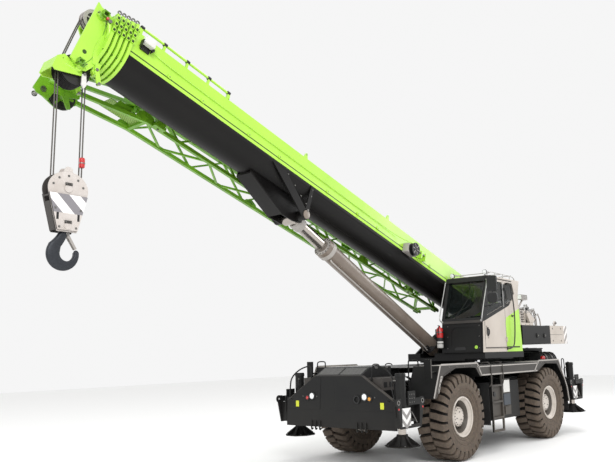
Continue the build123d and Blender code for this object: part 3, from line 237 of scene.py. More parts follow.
def patternPlate(name, base, mark, pitchMm, kind):
    # steel sheet with raised studs or punched holes in rows, drawn from two sines across it
    material, tree, output = emptyMaterial(name)
    place = addNode(tree, "ShaderNodeTexCoord").outputs["Object"]
    split = addNode(tree, "ShaderNodeSeparateXYZ", links={"Vector": place})
    waves = []
    for axis in ("X", "Y"):
        scaled = addNode(tree, "ShaderNodeMath", {"operation": "MULTIPLY", 1: math.tau * 1000 / pitchMm},
                         {0: split.outputs[axis]})
        waves.append(addNode(tree, "ShaderNodeMath", {"operation": "SINE"},
                             {0: scaled.outputs["Value"]}).outputs["Value"])
    product = addNode(tree, "ShaderNodeMath", {"operation": "MULTIPLY"}, {0: waves[0], 1: waves[1]})
    spot = addNode(tree, "ShaderNodeMapRange", {"From Min": 0.15, "From Max": 0.45},
                   {"Value": product.outputs["Value"]})
    colour = mixColour(tree, spot.outputs["Result"], srgb(base), srgb(mark))
    bump = addNode(tree, "ShaderNodeBump", {"Strength": 0.6, "Distance": 0.003, "invert": kind == "holes"},
                   {"Height": spot.outputs["Result"]})
    shader = addNode(tree, "ShaderNodeBsdfPrincipled", {"Roughness": 0.5},
                     {"Base Color": colour, "Normal": bump.outputs["Normal"]})
    tree.links.new(shader.outputs["BSDF"], output.inputs["Surface"])
    return material


print("materials")
treadPlate = patternPlate("chequerPlate", "#4a4a4b", "#6c6b6a", 60, "studs")
weightHatch = hatchMaterial("weightBands", "#e3dedb", "#8f8a87", 200, ("Y", "Z"))
weightSideHatch = hatchMaterial("weightSideBands", "#e3dedb", "#8f8a87", 120, ("X", "Z"))
blockBands = hatchMaterial("blockBands", "#e9e6e4", "#7f7c80", 175, ("X", "Z"), offset=-2.558, slope=-1.0)
jibMesh = patternPlate("jibWalkwayMesh", "#8fb455", "#2c3f12", 46, "holes")
grillePlate = patternPlate("punchedSteelGrille", "#5a5957", "#141414", 34, "holes")
lime = paintMaterial("limeEnamel", "#a8da44", "#9dce3c", roughness=0.34, coat=0.3)  # two-pack enamel, glossy
jibLime = paintMaterial("jibEnamel", "#6fa61e", "#5a8c1a", roughness=0.38, coat=0.2, patchMm=300)
# dark lime that stands for shade: the painted shadow band along the boom and the plates inside the head's lug boxes;
# the collar bolts are drawn in it too
limeDark = plainMaterial("limeShadowLine", "#2a470b", 0.4)
boomBlack = paintMaterial("boomBlackEnamel", "#0b0a0a", "#110f0e", roughness=0.42, coat=0.0, patchMm=900, specular=0.22)
charcoal = paintMaterial("charcoalEnamel", "#151516", "#1c1c1b", roughness=0.5, coat=0.0, dustHeight=1.4,
                         dustHex="#3b362f", specular=0.22)
fenderGrey = paintMaterial("fenderEnamel", "#3d3a38", "#484542", roughness=0.5, coat=0.0, dustHeight=1.8, specular=0.22)
# light grey enamel; on the fenders' tops and outer lips it is painted highlight
lightGreyAndHighlight = paintMaterial("lightGreyEnamelAndHighlight", "#a7a29d", "#918c87", roughness=0.45, coat=0.1)
# black satin enamel; under the fenders it is painted shade
satinBlackAndShade = paintMaterial("satinBlackEnamelAndShade", "#0c0c0d", "#131312", roughness=0.58, coat=0.0, dustHeight=1.2,
                           dustHex="#2a2620", specular=0.22)
warmGrey = paintMaterial("warmGreyEnamel", "#bcb2a8", "#aea499", roughness=0.34, coat=0.3)
blockGrey = paintMaterial("hookBlockEnamel", "#c6bfba", "#b5aca5", roughness=0.4, coat=0.15, patchMm=200)
bandGrey = plainMaterial("bandGrey", "#8b8886", 0.45)
bandWhite = plainMaterial("bandWhite", "#e9e8e6", 0.45)
rimPaint = paintMaterial("rimEnamel", "#cdc5bd", "#b7aea4", roughness=0.42, coat=0.1, patchMm=220, dustHeight=1.2,
                         dustHex="#9a8f82")
barrelPaint = paintMaterial("cylinderEnamel", "#7d7268", "#6c6056", roughness=0.36, coat=0.3, patchMm=500)
chromeRod = plainMaterial("hardChrome", "#b3aca5", 0.2, metallic=1.0, variation=0.06)  # plated and ground rod
steel = plainMaterial("machinedSteel", "#8d8b88", 0.35, metallic=1.0, variation=0.15, grainMm=12)
forged = plainMaterial("forgedSteel", "#3c3f44", 0.5, metallic=0.6, variation=0.25, grainMm=25, grainDepth=0.3)
wireSteel = plainMaterial("greasedWireRope", "#6a6661", 0.5, metallic=0.7, variation=0.3, grainMm=8)
sheaveNylon = plainMaterial("castNylonSheave", "#22201f", 0.45, variation=0.1)
rubber = rubberMaterial("tyreRubber", "#4a423b", "#66594d")
# near-black rubber for the tread between the lugs: painted shade in the grooves
treadGrooveShade = rubberMaterial("tyreTreadFloor", "#0b0a09", "#191614")
# darker tone for the rim's dish: painted shade inside the dish
rimShade = paintMaterial("rimDishEnamel", "#5c564f", "#463f38", roughness=0.55, coat=0.0, patchMm=220)
# black rubber for seals, trims and dark joints; also used as painted shade in the collar gaps, slots and holes
sealRubberAndShade = plainMaterial("sealRubberAndShade", "#151515", 0.7)
hoseRubber = plainMaterial("hoseRubber", "#1b1b1c", 0.55)
blackPlastic = plainMaterial("mouldedPolypropylene", "#1c1c1d", 0.55, grainMm=6, grainDepth=0.15)
trimGrey = plainMaterial("cabTrimVinyl", "#3a3b3d", 0.65)
chairCloth = plainMaterial("chairCloth", "#202226", 0.9, grainMm=3, grainDepth=0.3)
whitePlastic = plainMaterial("whitePlastic", "#dcdad6", 0.4)
redPlastic = plainMaterial("redLens", "#b3141a", 0.2, coat=0.5, variation=0.05)
amberPlastic = plainMaterial("amberLens", "#d8901a", 0.2, coat=0.5, variation=0.05)
lampGlass = plainMaterial("lampGlass", "#f2f4f5", 0.25, coat=0.6, variation=0.04)
yellowPlate = plainMaterial("yellowReflector", "#c9cf2c", 0.35, variation=0.04)
redPaint = plainMaterial("redEnamel", "#c01f1f", 0.35, coat=0.3)
blueBox = plainMaterial("darkBlueEnamel", "#1c2836", 0.4, coat=0.1)
silverTube = plainMaterial("satinAluminium", "#b9b8b6", 0.35, metallic=0.6, variation=0.06)
tintedGlass = glassMaterial("tintedSafetyGlass", "#161c1b")
mirrorGlass = plainMaterial("mirrorGlass", "#bfc4c6", 0.03, metallic=1.0, variation=0.01)


# making and placing pieces

def meshData(mesh, name):
    data = bpy.data.meshes.new(name)
    mesh.to_mesh(data)
    mesh.free()
    return data


def weld(mesh):
    bmesh.ops.remove_doubles(mesh, verts=mesh.verts, dist=0.00002)


def paintFaces(verts, material):
    for face in {f for v in verts for f in v.link_faces}:
        face.material_index = material


def newPiece(name, mesh, materials, body, bevel=0.0, segments=2, smooth=35):
    # mesh is a bmesh in the frame, in metres
    bmesh.ops.recalc_face_normals(mesh, faces=mesh.faces)
    return finishPiece(name, meshData(mesh, name), materials, body, bevel, segments, smooth)


def finishPiece(name, data, materials, body, bevel=0.0, segments=2, smooth=35):
    piece = bpy.data.objects.new(name, data)
    bpy.context.scene.collection.objects.link(piece)
    for material in materials if isinstance(materials, (list, tuple)) else [materials]:
        data.materials.append(material)
    data.shade_smooth()
    data.set_sharp_from_angle(angle=math.radians(smooth))
    if bevel:
        modifier = piece.modifiers.new("edges", "BEVEL")
        modifier.width = bevel
        modifier.segments = segments
        modifier.limit_method = "ANGLE"
        modifier.angle_limit = math.radians(40)
        modifier.use_clamp_overlap = True
        modifier.harden_normals = True
    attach(piece, body)
    return piece


def addBox(mesh, low, high, material=0):
    made = bmesh.ops.create_cube(mesh, size=1.0)["verts"]
    low, high = Vector(low), Vector(high)
    bmesh.ops.scale(mesh, vec=high - low, verts=made)
    bmesh.ops.translate(mesh, vec=(low + high) / 2, verts=made)
    paintFaces(made, material)
    return made


def addRod(mesh, start, end, radius, sides=16, endRadius=None, material=0, capped=True):
    start, end = Vector(start), Vector(end)
    run = end - start
    made = bmesh.ops.create_cone(mesh, cap_ends=capped, segments=sides, radius1=radius,
                                 radius2=radius if endRadius is None else endRadius, depth=run.length)["verts"]
    turn = run.to_track_quat("Z", "Y").to_matrix().to_4x4()
    bmesh.ops.transform(mesh, matrix=Matrix.Translation((start + end) / 2) @ turn, verts=made)
    paintFaces(made, material)
    return made


def addBar(mesh, start, end, width, height, side=(0, 1, 0), material=0):
    # rectangular bar, width towards side
    start, end = Vector(start), Vector(end)
    run = end - start
    along = run.normalized()
    across = (Vector(side) - along * along.dot(Vector(side))).normalized()
    up = along.cross(across)
    made = bmesh.ops.create_cube(mesh, size=1.0)["verts"]
    bmesh.ops.scale(mesh, vec=(run.length, width, height), verts=made)
    middle = (start + end) / 2
    turn = Matrix((
        (along.x, across.x, up.x, middle.x), (along.y, across.y, up.y, middle.y),
        (along.z, across.z, up.z, middle.z), (0, 0, 0, 1),
    ))
    bmesh.ops.transform(mesh, matrix=turn, verts=made)
    paintFaces(made, material)
    return made


def addPlate(mesh, outline, space, thick, material=0):
    # flat outline of (x, y) in the plane of space, pushed along its third axis
    verts = [mesh.verts.new((x, y, 0)) for x, y in outline]
    face = mesh.faces.new(verts)
    pushed = bmesh.ops.extrude_face_region(mesh, geom=[face])["geom"]
    top = [v for v in pushed if isinstance(v, bmesh.types.BMVert)]
    bmesh.ops.translate(mesh, vec=(0, 0, thick), verts=top)
    made = verts + top
    bmesh.ops.transform(mesh, matrix=space, verts=made)
    for f in {f for v in made for f in v.link_faces}:
        f.material_index = material
    return made


def sideSpace(y):
    # outline x along the machine, y up; pushed towards -Y
    return Matrix(((1, 0, 0, 0), (0, 0, -1, y), (0, 1, 0, 0), (0, 0, 0, 1)))


def faceSpace(x):
    # outline x to the left, y up; pushed towards the front
    return Matrix(((0, 0, 1, x), (1, 0, 0, 0), (0, 1, 0, 0), (0, 0, 0, 1)))


def boomSideSpace(y):
    return boomSpace @ sideSpace(y)


def boomCutSpace(u):
    return boomSpace @ faceSpace(u)


def addLathe(mesh, profile, centre, axis, steps=48, closed=False, material=0):
    # profile of (along the axis, radius) spun about the axis
    axis = Vector(axis).normalized()
    out = axis.orthogonal().normalized()
    verts = [mesh.verts.new(Vector(centre) + axis * a + out * r) for a, r in profile]
    edges = [mesh.edges.new(pair) for pair in zip(verts, verts[1:])]
    if closed:
        edges.append(mesh.edges.new((verts[-1], verts[0])))
    before = set(mesh.faces)
    bmesh.ops.spin(mesh, geom=verts + edges, cent=centre, axis=axis, angle=math.tau, steps=steps, use_merge=True)
    made = [f for f in mesh.faces if f not in before]
    for face in made:
        face.material_index = material
    return made


def addTube(mesh, points, radius, sides=10, material=0):
    # round bar bent through points, swept by a curve with round corners
    curve = bpy.data.curves.new("bentBar", "CURVE")
    curve.dimensions = "3D"
    curve.bevel_depth = radius
    curve.bevel_resolution = max(1, sides // 4 - 1)
    curve.use_fill_caps = True
    curve.resolution_u = 4
    line = curve.splines.new("NURBS")
    line.points.add(len(points) - 1)
    for point, place in zip(line.points, points):
        point.co = (*place, 1.0)
    line.order_u = 3
    line.use_endpoint_u = True
    holder = bpy.data.objects.new("bentBar", curve)
    swept = bpy.data.meshes.new_from_object(holder)
    before = set(mesh.faces)
    mesh.from_mesh(swept)
    for face in mesh.faces:
        if face not in before:
            face.material_index = material
    bpy.data.objects.remove(holder)
    bpy.data.curves.remove(curve)
    bpy.data.meshes.remove(swept)


def cutPlane(mesh, point, normal):
    # new edges where a plane crosses the mesh, so that a change of paint can follow them
    everything = mesh.verts[:] + mesh.edges[:] + mesh.faces[:]
    bmesh.ops.bisect_plane(mesh, geom=everything, plane_co=point, plane_no=normal, dist=0.0002)


def roundEdges(mesh, verts, offset, segments, alongX=False):
    # every edge of the given corners, or only those that run front to back
    edges = {e for v in verts for e in v.link_edges}
    if alongX:
        edges = {e for e in edges if abs((e.verts[0].co - e.verts[1].co).x) > 0.01}
    bmesh.ops.bevel(mesh, geom=list(edges), offset=offset, offset_type="OFFSET", segments=segments, profile=0.5,
                    affect="EDGES", material=-1, clamp_overlap=True)


def bodyOf(node):
    return frame["nodes"][node]["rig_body"]


def cleanCopy(node):
    # the CAD node's mesh with its corners joined and its flat faces whole again
    mesh = bmesh.new()
    mesh.from_mesh(frame["nodes"][node].data)
    weld(mesh)
    bmesh.ops.dissolve_limit(mesh, angle_limit=math.radians(1.0), verts=mesh.verts, edges=mesh.edges)
    return mesh


def dressNode(node, materials, bevel=0.004, name=None, paint=None, smooth=30):
    # the node with soft edges and its finish; paint(face centre, normal) gives a material's index
    mesh = cleanCopy(node)
    if paint:
        for face in mesh.faces:
            face.material_index = paint(face.calc_center_median(), face.normal)
    data = meshData(mesh, node)
    body = bodyOf(node)
    piece = finishPiece(name or node + "_finished", data, materials, body, bevel, 2, smooth)
    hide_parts(node)
    return piece


def cutAcross(mesh, start, end, space=None):
    # cuts the mesh by the plane through two (x, z) points, square to the side
    run = Vector((end[0] - start[0], 0, end[1] - start[1]))
    normal = Vector((-run.z, 0, run.x))
    place = Vector((start[0], 0, start[1]))
    if space:
        place, normal = space @ place, space.to_3x3() @ normal
    cutPlane(mesh, place, normal)


def insideOutline(x, z, outline):
    within = False
    for (x0, z0), (x1, z1) in zip(outline, outline[1:] + outline[:1]):
        if (z0 > z) != (z1 > z) and x < x0 + (x1 - x0) * (z - z0) / (z1 - z0):
            within = not within
    return within


corners = {"front_left": (frontX, 1), "front_right": (frontX, -1), "rear_left": (rearX, 1), "rear_right": (rearX, -1)}


# stage, light and camera

stageSetup = {"floorSize": 90.0, "lens": 40.65, "shiftX": -0.0682, "shiftY": 0.0006,
              "eye": (12.0793, 9.1636, 2.2035)}


def makeStage():
    mesh = bmesh.new()
    bmesh.ops.create_grid(mesh, x_segments=1, y_segments=1, size=stageSetup["floorSize"] / 2)
    data = meshData(mesh, "floor")
    floor = bpy.data.objects.new("floor", data)
    bpy.context.scene.collection.objects.link(floor)
    floor.location.z = -0.002
    data.materials.append(plainMaterial("paleFloor", "#f4f4f3", 0.8, variation=0.0, grainMm=4000))
    world = bpy.data.worlds.new("studio")
    world.use_nodes = True
    world.node_tree.nodes["Background"].inputs["Color"].default_value = (1.0, 1.0, 1.0, 1.0)
    world.node_tree.nodes["Background"].inputs["Strength"].default_value = 0.92
    bpy.context.scene.world = world
    lights = (
        ("keyLight", (16, 16, 15), 9.0, 2700, (-2, 0, 3)),
        ("fillLight", (18, -12, 9), 9.0, 500, (0, 0, 3)),
        ("topLight", (-3, 3, 20), 12.0, 1100, (-2, 0, 2)),
        ("rearLight", (-16, 8, 9), 7.0, 600, (-4, 0, 3)),
    )
    for name, place, size, power, aim in lights:
        lamp = bpy.data.lights.new(name, "AREA")
        lamp.size = size
        lamp.energy = power
        holder = bpy.data.objects.new(name, lamp)
        holder.location = place
        holder.rotation_euler = (Vector(aim) - Vector(place)).to_track_quat("-Z", "Y").to_euler()
        bpy.context.scene.collection.objects.link(holder)
    bpy.context.scene.view_settings.view_transform = "Standard"


def makeCamera():
    yaw, pitch, roll = math.radians(219.0878), math.radians(10.0322), math.radians(-1.5251)
    look = Vector((math.cos(yaw) * math.cos(pitch), math.sin(yaw) * math.cos(pitch), math.sin(pitch)))
    right = look.cross(Vector((0, 0, 1))).normalized()
    up = right.cross(look)
    right, up = right * math.cos(roll) + up * math.sin(roll), up * math.cos(roll) - right * math.sin(roll)
    lens = bpy.data.cameras.new("camera")
    lens.lens = stageSetup["lens"]
    lens.sensor_width = 36.0
    lens.shift_x = stageSetup["shiftX"]
    lens.shift_y = stageSetup["shiftY"]
    lens.clip_end = 200.0
    camera = bpy.data.objects.new("camera", lens)
    camera.matrix_world = Matrix((
        (right.x, up.x, -look.x, stageSetup["eye"][0]), (right.y, up.y, -look.y, stageSetup["eye"][1]),
        (right.z, up.z, -look.z, stageSetup["eye"][2]), (0, 0, 0, 1),
    ))
    bpy.context.scene.collection.objects.link(camera)
    bpy.context.scene.camera = camera


makeStage()
makeCamera()
print("stage")


# finishes on the frame's own pieces

finishes = {  # node: (material, edge bevel in metres)
    "chassis_frame": (charcoal, 0.006), "front_cover": (charcoal, 0.008), "engine_block": (forged, 0.01),
    "front_axle": (satinBlackAndShade, 0.008), "rear_axle": (satinBlackAndShade, 0.008), "turntable": (charcoal, 0.006),
    "hoist_winches": (charcoal, 0.004), "jib": (jibLime, 0.003), "jib_sheave": (sheaveNylon, 0.003),
    "head_sheaves": (sheaveNylon, 0.003), "lift_barrel": (barrelPaint, 0.004), "lift_rod": (chromeRod, 0.004),
    "hoist_falls": (wireSteel, 0.0), "cab_glass": (tintedGlass, 0.0), "cab_door_glass": (tintedGlass, 0.0),
}
for corner in corners:
    finishes["knuckle_" + corner] = (satinBlackAndShade, 0.006)
    finishes["outrigger_beam_" + corner] = (charcoal, 0.004)

for node, (material, bevel) in finishes.items():
    dressNode(node, material, bevel)

boomSections = ("boom_base", "boom_section_2", "boom_section_3", "boom_section_4", "boom_head")
boomSkin = {"edge": 0.13, "paintedShadowLow": 0.19, "paintedShadowHigh": 0.212, "collar": 11.7}


def dressBoomSection(node, painted):
    # lime over black, with a band of painted shadow in dark lime just above the joint of the two colours
    mesh = cleanCopy(node)
    if painted:
        for height in (boomSkin["edge"], boomSkin["paintedShadowLow"], boomSkin["paintedShadowHigh"]):
            cutPlane(mesh, onBoom(0, 0, height), boomUp)
        cutPlane(mesh, onBoom(boomSkin["collar"] - 0.004, 0, 0), boomDir)
        for face in mesh.faces:
            place = boomSpace.inverted() @ face.calc_center_median()
            if place.x > boomSkin["collar"]:
                continue
            if place.z < boomSkin["edge"]:
                face.material_index = 1
            elif boomSkin["paintedShadowLow"] < place.z < boomSkin["paintedShadowHigh"]:
                face.material_index = 2
    data = meshData(mesh, node)
    body = bodyOf(node)
    piece = finishPiece(node + "_finished", data, [lime, boomBlack, limeDark], body, 0.0, 2, 30)
    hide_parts(node)


for node in boomSections:
    dressBoomSection(node, node != "boom_head")


print("finishes")

# wheels

def turnCopies(mesh, verts, centre, axis, count, first=0.0):
    # count copies of the given geometry about an axis, the first one where it is
    geometry = list(verts)
    geometry += list({e for v in verts for e in v.link_edges}) + list({f for v in verts for f in v.link_faces})
    if first:
        bmesh.ops.rotate(mesh, cent=centre, matrix=Matrix.Rotation(first, 3, axis), verts=list(verts))
    for index in range(1, count):
        copy = bmesh.ops.duplicate(mesh, geom=geometry)["geom"]
        moved = [v for v in copy if isinstance(v, bmesh.types.BMVert)]
        bmesh.ops.rotate(mesh, cent=centre, matrix=Matrix.Rotation(math.tau * index / count, 3, axis), verts=moved)


def addNut(mesh, place, axis, radius=0.014, height=0.014, material=0):
    # hexagon head on its washer
    place, axis = Vector(place), Vector(axis).normalized()
    washer = addRod(mesh, place, place + axis * height * 0.25, radius * 1.35, 12, material=material)
    head = addRod(mesh, place + axis * height * 0.2, place + axis * height, radius, 6, material=material)
    return washer + head


tyre = {"lugs": 28, "pitchRadius": 0.86, "innerWidth": 0.118, "outerWidth": 0.132, "skew": 0.07}
tyreWall = [  # outward from the wheel's middle, radius
    (0.248, 0.393), (0.262, 0.413), (0.280, 0.436), (0.296, 0.462), (0.292, 0.476), (0.308, 0.500), (0.312, 0.545),
    (0.322, 0.553), (0.317, 0.566), (0.331, 0.580), (0.336, 0.615), (0.3372, 0.650), (0.333, 0.690), (0.305, 0.722),
    (0.268, 0.752), (0.225, 0.782), (0.160, 0.796), (0.060, 0.800),
]
tyreLug = [
    (0.010, 0.77), (0.010, 0.865), (0.170, 0.8703), (0.262, 0.864), (0.303, 0.845), (0.323, 0.805), (0.334, 0.745),
    (0.334, 0.690), (0.300, 0.70), (0.250, 0.73), (0.170, 0.765),
]


def makeTyre(name, axleX, side):
    centre = Vector((axleX, side * machine["trackHalf"], machine["tyreRadius"]))
    mesh = bmesh.new()
    wall = tyreWall + [(-a, r) for a, r in reversed(tyreWall)]
    addLathe(mesh, wall, centre, (0, 1, 0), 96, closed=True)
    # the carcass beyond 0.70 m radius, between the lugs, takes the near-black rubber as painted shade
    for face in mesh.faces:
        place = face.calc_center_median() - centre
        if math.hypot(place.x, place.z) > 0.70:
            face.material_index = 1
    for hand in (-1, 1):
        # one block, bent to the tread and slanted, then copied round
        block = [mesh.verts.new((0, a, r)) for a, r in tyreLug]
        face = mesh.faces.new(block)
        pushed = bmesh.ops.extrude_face_region(mesh, geom=[face])["geom"]
        far = [v for v in pushed if isinstance(v, bmesh.types.BMVert)]
        for verts, edge in ((block, -0.5), (far, 0.5)):
            for vert in verts:
                out = vert.co.y / 0.33
                width = tyre["innerWidth"] + (tyre["outerWidth"] - tyre["innerWidth"]) * out
                turn = (edge * width + tyre["skew"] * out ** 1.5) / tyre["pitchRadius"]
                radius = vert.co.z
                vert.co = centre + Vector((radius * math.sin(turn), hand * vert.co.y, radius * math.cos(turn)))
        edges = list({e for v in block + far for e in v.link_edges})
        bevelled = bmesh.ops.bevel(mesh, geom=edges, offset=0.005, offset_type="OFFSET", segments=1, profile=0.5,
                                   affect="EDGES", material=-1, clamp_overlap=True)
        made = set(bevelled["verts"]) | {v for v in block + far if v.is_valid}
        grown = True
        while grown:
            linked = {e.other_vert(v) for v in made for e in v.link_edges}
            grown = not linked <= made
            made |= linked
        first = math.pi / tyre["lugs"] if hand > 0 else 0.0
        turnCopies(mesh, made, centre, "Y", tyre["lugs"], first)
    piece = newPiece(name + "_tread", mesh, [rubber, treadGrooveShade], "wheel_" + name[5:], smooth=32)
    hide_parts(name)


rimProfile = [
    (0.187, 0.0), (0.187, 0.052), (0.183, 0.056), (0.183, 0.150), (0.181, 0.184), (0.172, 0.196), (0.160, 0.200),
    (0.066, 0.203), (0.060, 0.208), (0.060, 0.258), (0.070, 0.264), (0.098, 0.274), (0.200, 0.326), (0.232, 0.344),
    (0.246, 0.362), (0.256, 0.372), (0.262, 0.374), (0.266, 0.370), (0.278, 0.374), (0.285, 0.384), (0.287, 0.396),
    (0.283, 0.407), (0.272, 0.410), (0.262, 0.409), (0.252, 0.392), (-0.260, 0.392), (-0.270, 0.410),
    (-0.300, 0.410), (-0.300, 0.376), (-0.010, 0.360), (-0.010, 0.262), (-0.077, 0.192), (-0.077, 0.087),
    (0.120, 0.087), (0.120, 0.0),
]


def makeRim(name, axleX, side):
    centre = Vector((axleX, side * machine["trackHalf"], machine["tyreRadius"]))
    mesh = bmesh.new()
    addLathe(mesh, rimProfile, centre, (0, side, 0), 72)
    weld(mesh)
    # the dish between the hub disc and the rim's lip takes the darker tone as painted shade; the hub disc stays light
    for face in mesh.faces:
        place = face.calc_center_median() - centre
        if math.hypot(place.x, place.z) < 0.33 and side * place.y < 0.2:
            face.material_index = 1 if math.hypot(place.x, place.z) > 0.21 else 0
    for count, radius, out, size in ((20, 0.235, 0.060, 0.015), (16, 0.168, 0.182, 0.009), (3, 0.095, 0.182, 0.011)):
        place = centre + Vector((radius, side * out, 0))
        turnCopies(mesh, addNut(mesh, place, (0, side, 0), size, size * 1.5, 2), centre, "Y", count, 0.3)
    # valve in the disc
    addRod(mesh, centre + Vector((0.29, side * 0.13, 0)), centre + Vector((0.30, side * 0.19, 0)), 0.008, 10,
           material=2)
    piece = newPiece(name + "_disc", mesh, [rimPaint, rimShade, steel], "wheel_" + name[4:], smooth=28)
    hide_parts(name)


for corner, (axleX, side) in corners.items():
    makeTyre("tyre_" + corner, axleX, side)
    makeRim("rim_" + corner, axleX, side)
print("wheels")


# outriggers

rigger = {"beamShift": 0.121, "jackSet": 0.15, "jackY": 1.535, "frameSet": 0.39, "earZ": 1.31, "floatZ": 0.52,
          "frontX": machine["plateX"] - 0.262, "rearX": machine["tailX"] + 0.235}


def makeFloat(corner, jackX, side):
    # octagon plate with a raised edge, eight ribs up to the ball socket, and the chromed rod
    centre = Vector((jackX, side * rigger["jackY"], rigger["floatZ"]))
    mesh = bmesh.new()
    turn = math.pi / 8
    for low, high, first, last in ((0.0, 0.012, 0.31, 0.338), (0.012, 0.024, 0.338, 0.338), (0.024, 0.05, 0.28, 0.11)):
        made = addRod(mesh, centre + Vector((0, 0, low)), centre + Vector((0, 0, high)), first, 8, last)
        bmesh.ops.rotate(mesh, cent=centre, matrix=Matrix.Rotation(turn, 3, "Z"), verts=made)
    addLathe(mesh, [(0.024, 0.0), (0.024, 0.21), (0.09, 0.15), (0.18, 0.105), (0.205, 0.108), (0.214, 0.10),
                    (0.214, 0.0)],
             centre, (0, 0, 1), 32)
    rib = addPlate(mesh, [(0.08, 0.02), (0.305, 0.02), (0.305, 0.045), (0.105, 0.189), (0.08, 0.189)],
                   Matrix.Translation(centre) @ Matrix(((1, 0, 0, 0), (0, 0, -1, 0.007), (0, 1, 0, 0), (0, 0, 0, 1))),
                   0.014)
    turnCopies(mesh, rib, centre, "Z", 8, turn)
    weld(mesh)
    for angle in range(4):
        spot = centre + Matrix.Rotation(math.tau * angle / 4, 3, "Z") @ Vector((0.205, 0.205, 0.024)) * 0.9
        addNut(mesh, (spot.x, spot.y, centre.z + 0.024), (0, 0, 1), 0.014, 0.014, 1)
    addRod(mesh, centre + Vector((0, 0, 0.214)), centre + Vector((0, 0, 1.22)), 0.074, 40, material=2)
    piece = newPiece("float_" + corner, mesh, [satinBlackAndShade, steel, chromeRod], "outrigger_jack_" + corner,
                     0.003, 2, 30)
    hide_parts("outrigger_jack_" + corner)


def makeRiggerEnd(corner, rigX, side):
    # striped board, tube cap, pins and hoses on the outer end of the beam
    mid = rigX + side * rigger["beamShift"]
    jackX = mid + side * rigger["jackSet"]
    face = side * machine["bodyHalf"]
    body = "outrigger_beam_" + corner
    mesh = bmesh.new()
    low, high = sorted((mid + side * 0.02, mid + side * 0.29))
    near, far = sorted((face, face + side * 0.004))
    addBox(mesh, (low, near, 0.885), (high, far, 1.205))
    middle = (low + high) / 2
    reach = (high - low) / 2
    for lift in (0.0, -0.17):
        space = sideSpace(far + (0.001 if side > 0 else -0.0035))
        addPlate(mesh, [(middle - reach, 1.20 + lift), (middle, 1.075 + lift), (middle + reach, 1.20 + lift),
                        (middle + reach, 1.12 + lift), (middle, 0.995 + lift), (middle - reach, 1.12 + lift)],
                 space, 0.0015, 1)
    newPiece("board_" + corner, mesh, [bandWhite, bandGrey], body)
    mesh = bmesh.new()
    top = Vector((jackX, side * rigger["jackY"], 1.82))
    addLathe(mesh, [(-0.06, 0.096), (-0.06, 0.103), (-0.012, 0.103), (0.0, 0.097), (0.012, 0.092), (0.012, 0.0)],
             top, (0, 0, 1), 40)
    addLathe(mesh, [(0.0, 0.096), (0.0, 0.108), (0.07, 0.108), (0.07, 0.096)], top - Vector((0, 0, 0.98)), (0, 0, 1),
             40)
    for angle in (0.6, 2.2):
        out = Vector((math.cos(angle), -side * abs(math.sin(angle)), 0))
        port = top + out * 0.09 - Vector((0, 0, 0.12))
        addRod(mesh, port, port + out * 0.05, 0.016, 12, material=1)
        addTube(mesh, [port + out * 0.04, port + out * 0.09, port + out * 0.09 - Vector((0, 0, 0.12)),
                       port + out * 0.05 - Vector((0, 0, 0.3)), port + out * 0.012 - Vector((0, 0, 0.55))], 0.009, 8, 2)
    for step in (-1, 1):
        ear = Vector((mid + step * rigger["frameSet"], face, rigger["earZ"]))
        addLathe(mesh, [(-0.031, 0.027), (-0.031, 0.045), (0.003, 0.045), (0.003, 0.027)], ear, (0, side, 0), 24,
                 closed=True, material=1)
        addRod(mesh, ear + Vector((0, side * 0.0005, -0.115)), ear + Vector((0, side * 0.006, -0.115)), 0.02, 16,
               material=3)
    for row in range(3):
        for column in range(3):
            spot = (mid - side * (0.11 - column * 0.07), face, 1.30 + row * 0.07)
            addNut(mesh, spot, (0, side, 0), 0.008, 0.008, 1)
    # grab handle and the float's stowing bracket inside the frame
    addBox(mesh, (min(mid - side * 0.20, mid - side * 0.05), min(face - side * 0.12, face - side * 0.03), 0.95),
           (max(mid - side * 0.20, mid - side * 0.05), max(face - side * 0.12, face - side * 0.03), 1.0))
    addTube(mesh, [(mid - side * 0.22, face - side * 0.03, 0.92), (mid - side * 0.14, face - side * 0.02, 1.02),
                   (mid - side * 0.05, face - side * 0.03, 1.13)], 0.011, 10, 1)
    newPiece("beam_end_" + corner, mesh, [charcoal, steel, hoseRubber, redPlastic], body, 0.0015, 2, 30)


for corner, (axleX, side) in corners.items():
    rigX = rigger["frontX"] if corner.startswith("front") else rigger["rearX"]
    makeFloat(corner, rigX + side * (rigger["beamShift"] + rigger["jackSet"]), side)
    makeRiggerEnd(corner, rigX, side)
print("outriggers")


# front plate, its lamps and hooks, and the hood behind it

frontPlate = {"half": 1.40, "shoulder": 1.29, "topHalf": 0.6, "top": 1.79, "skin": 0.006}


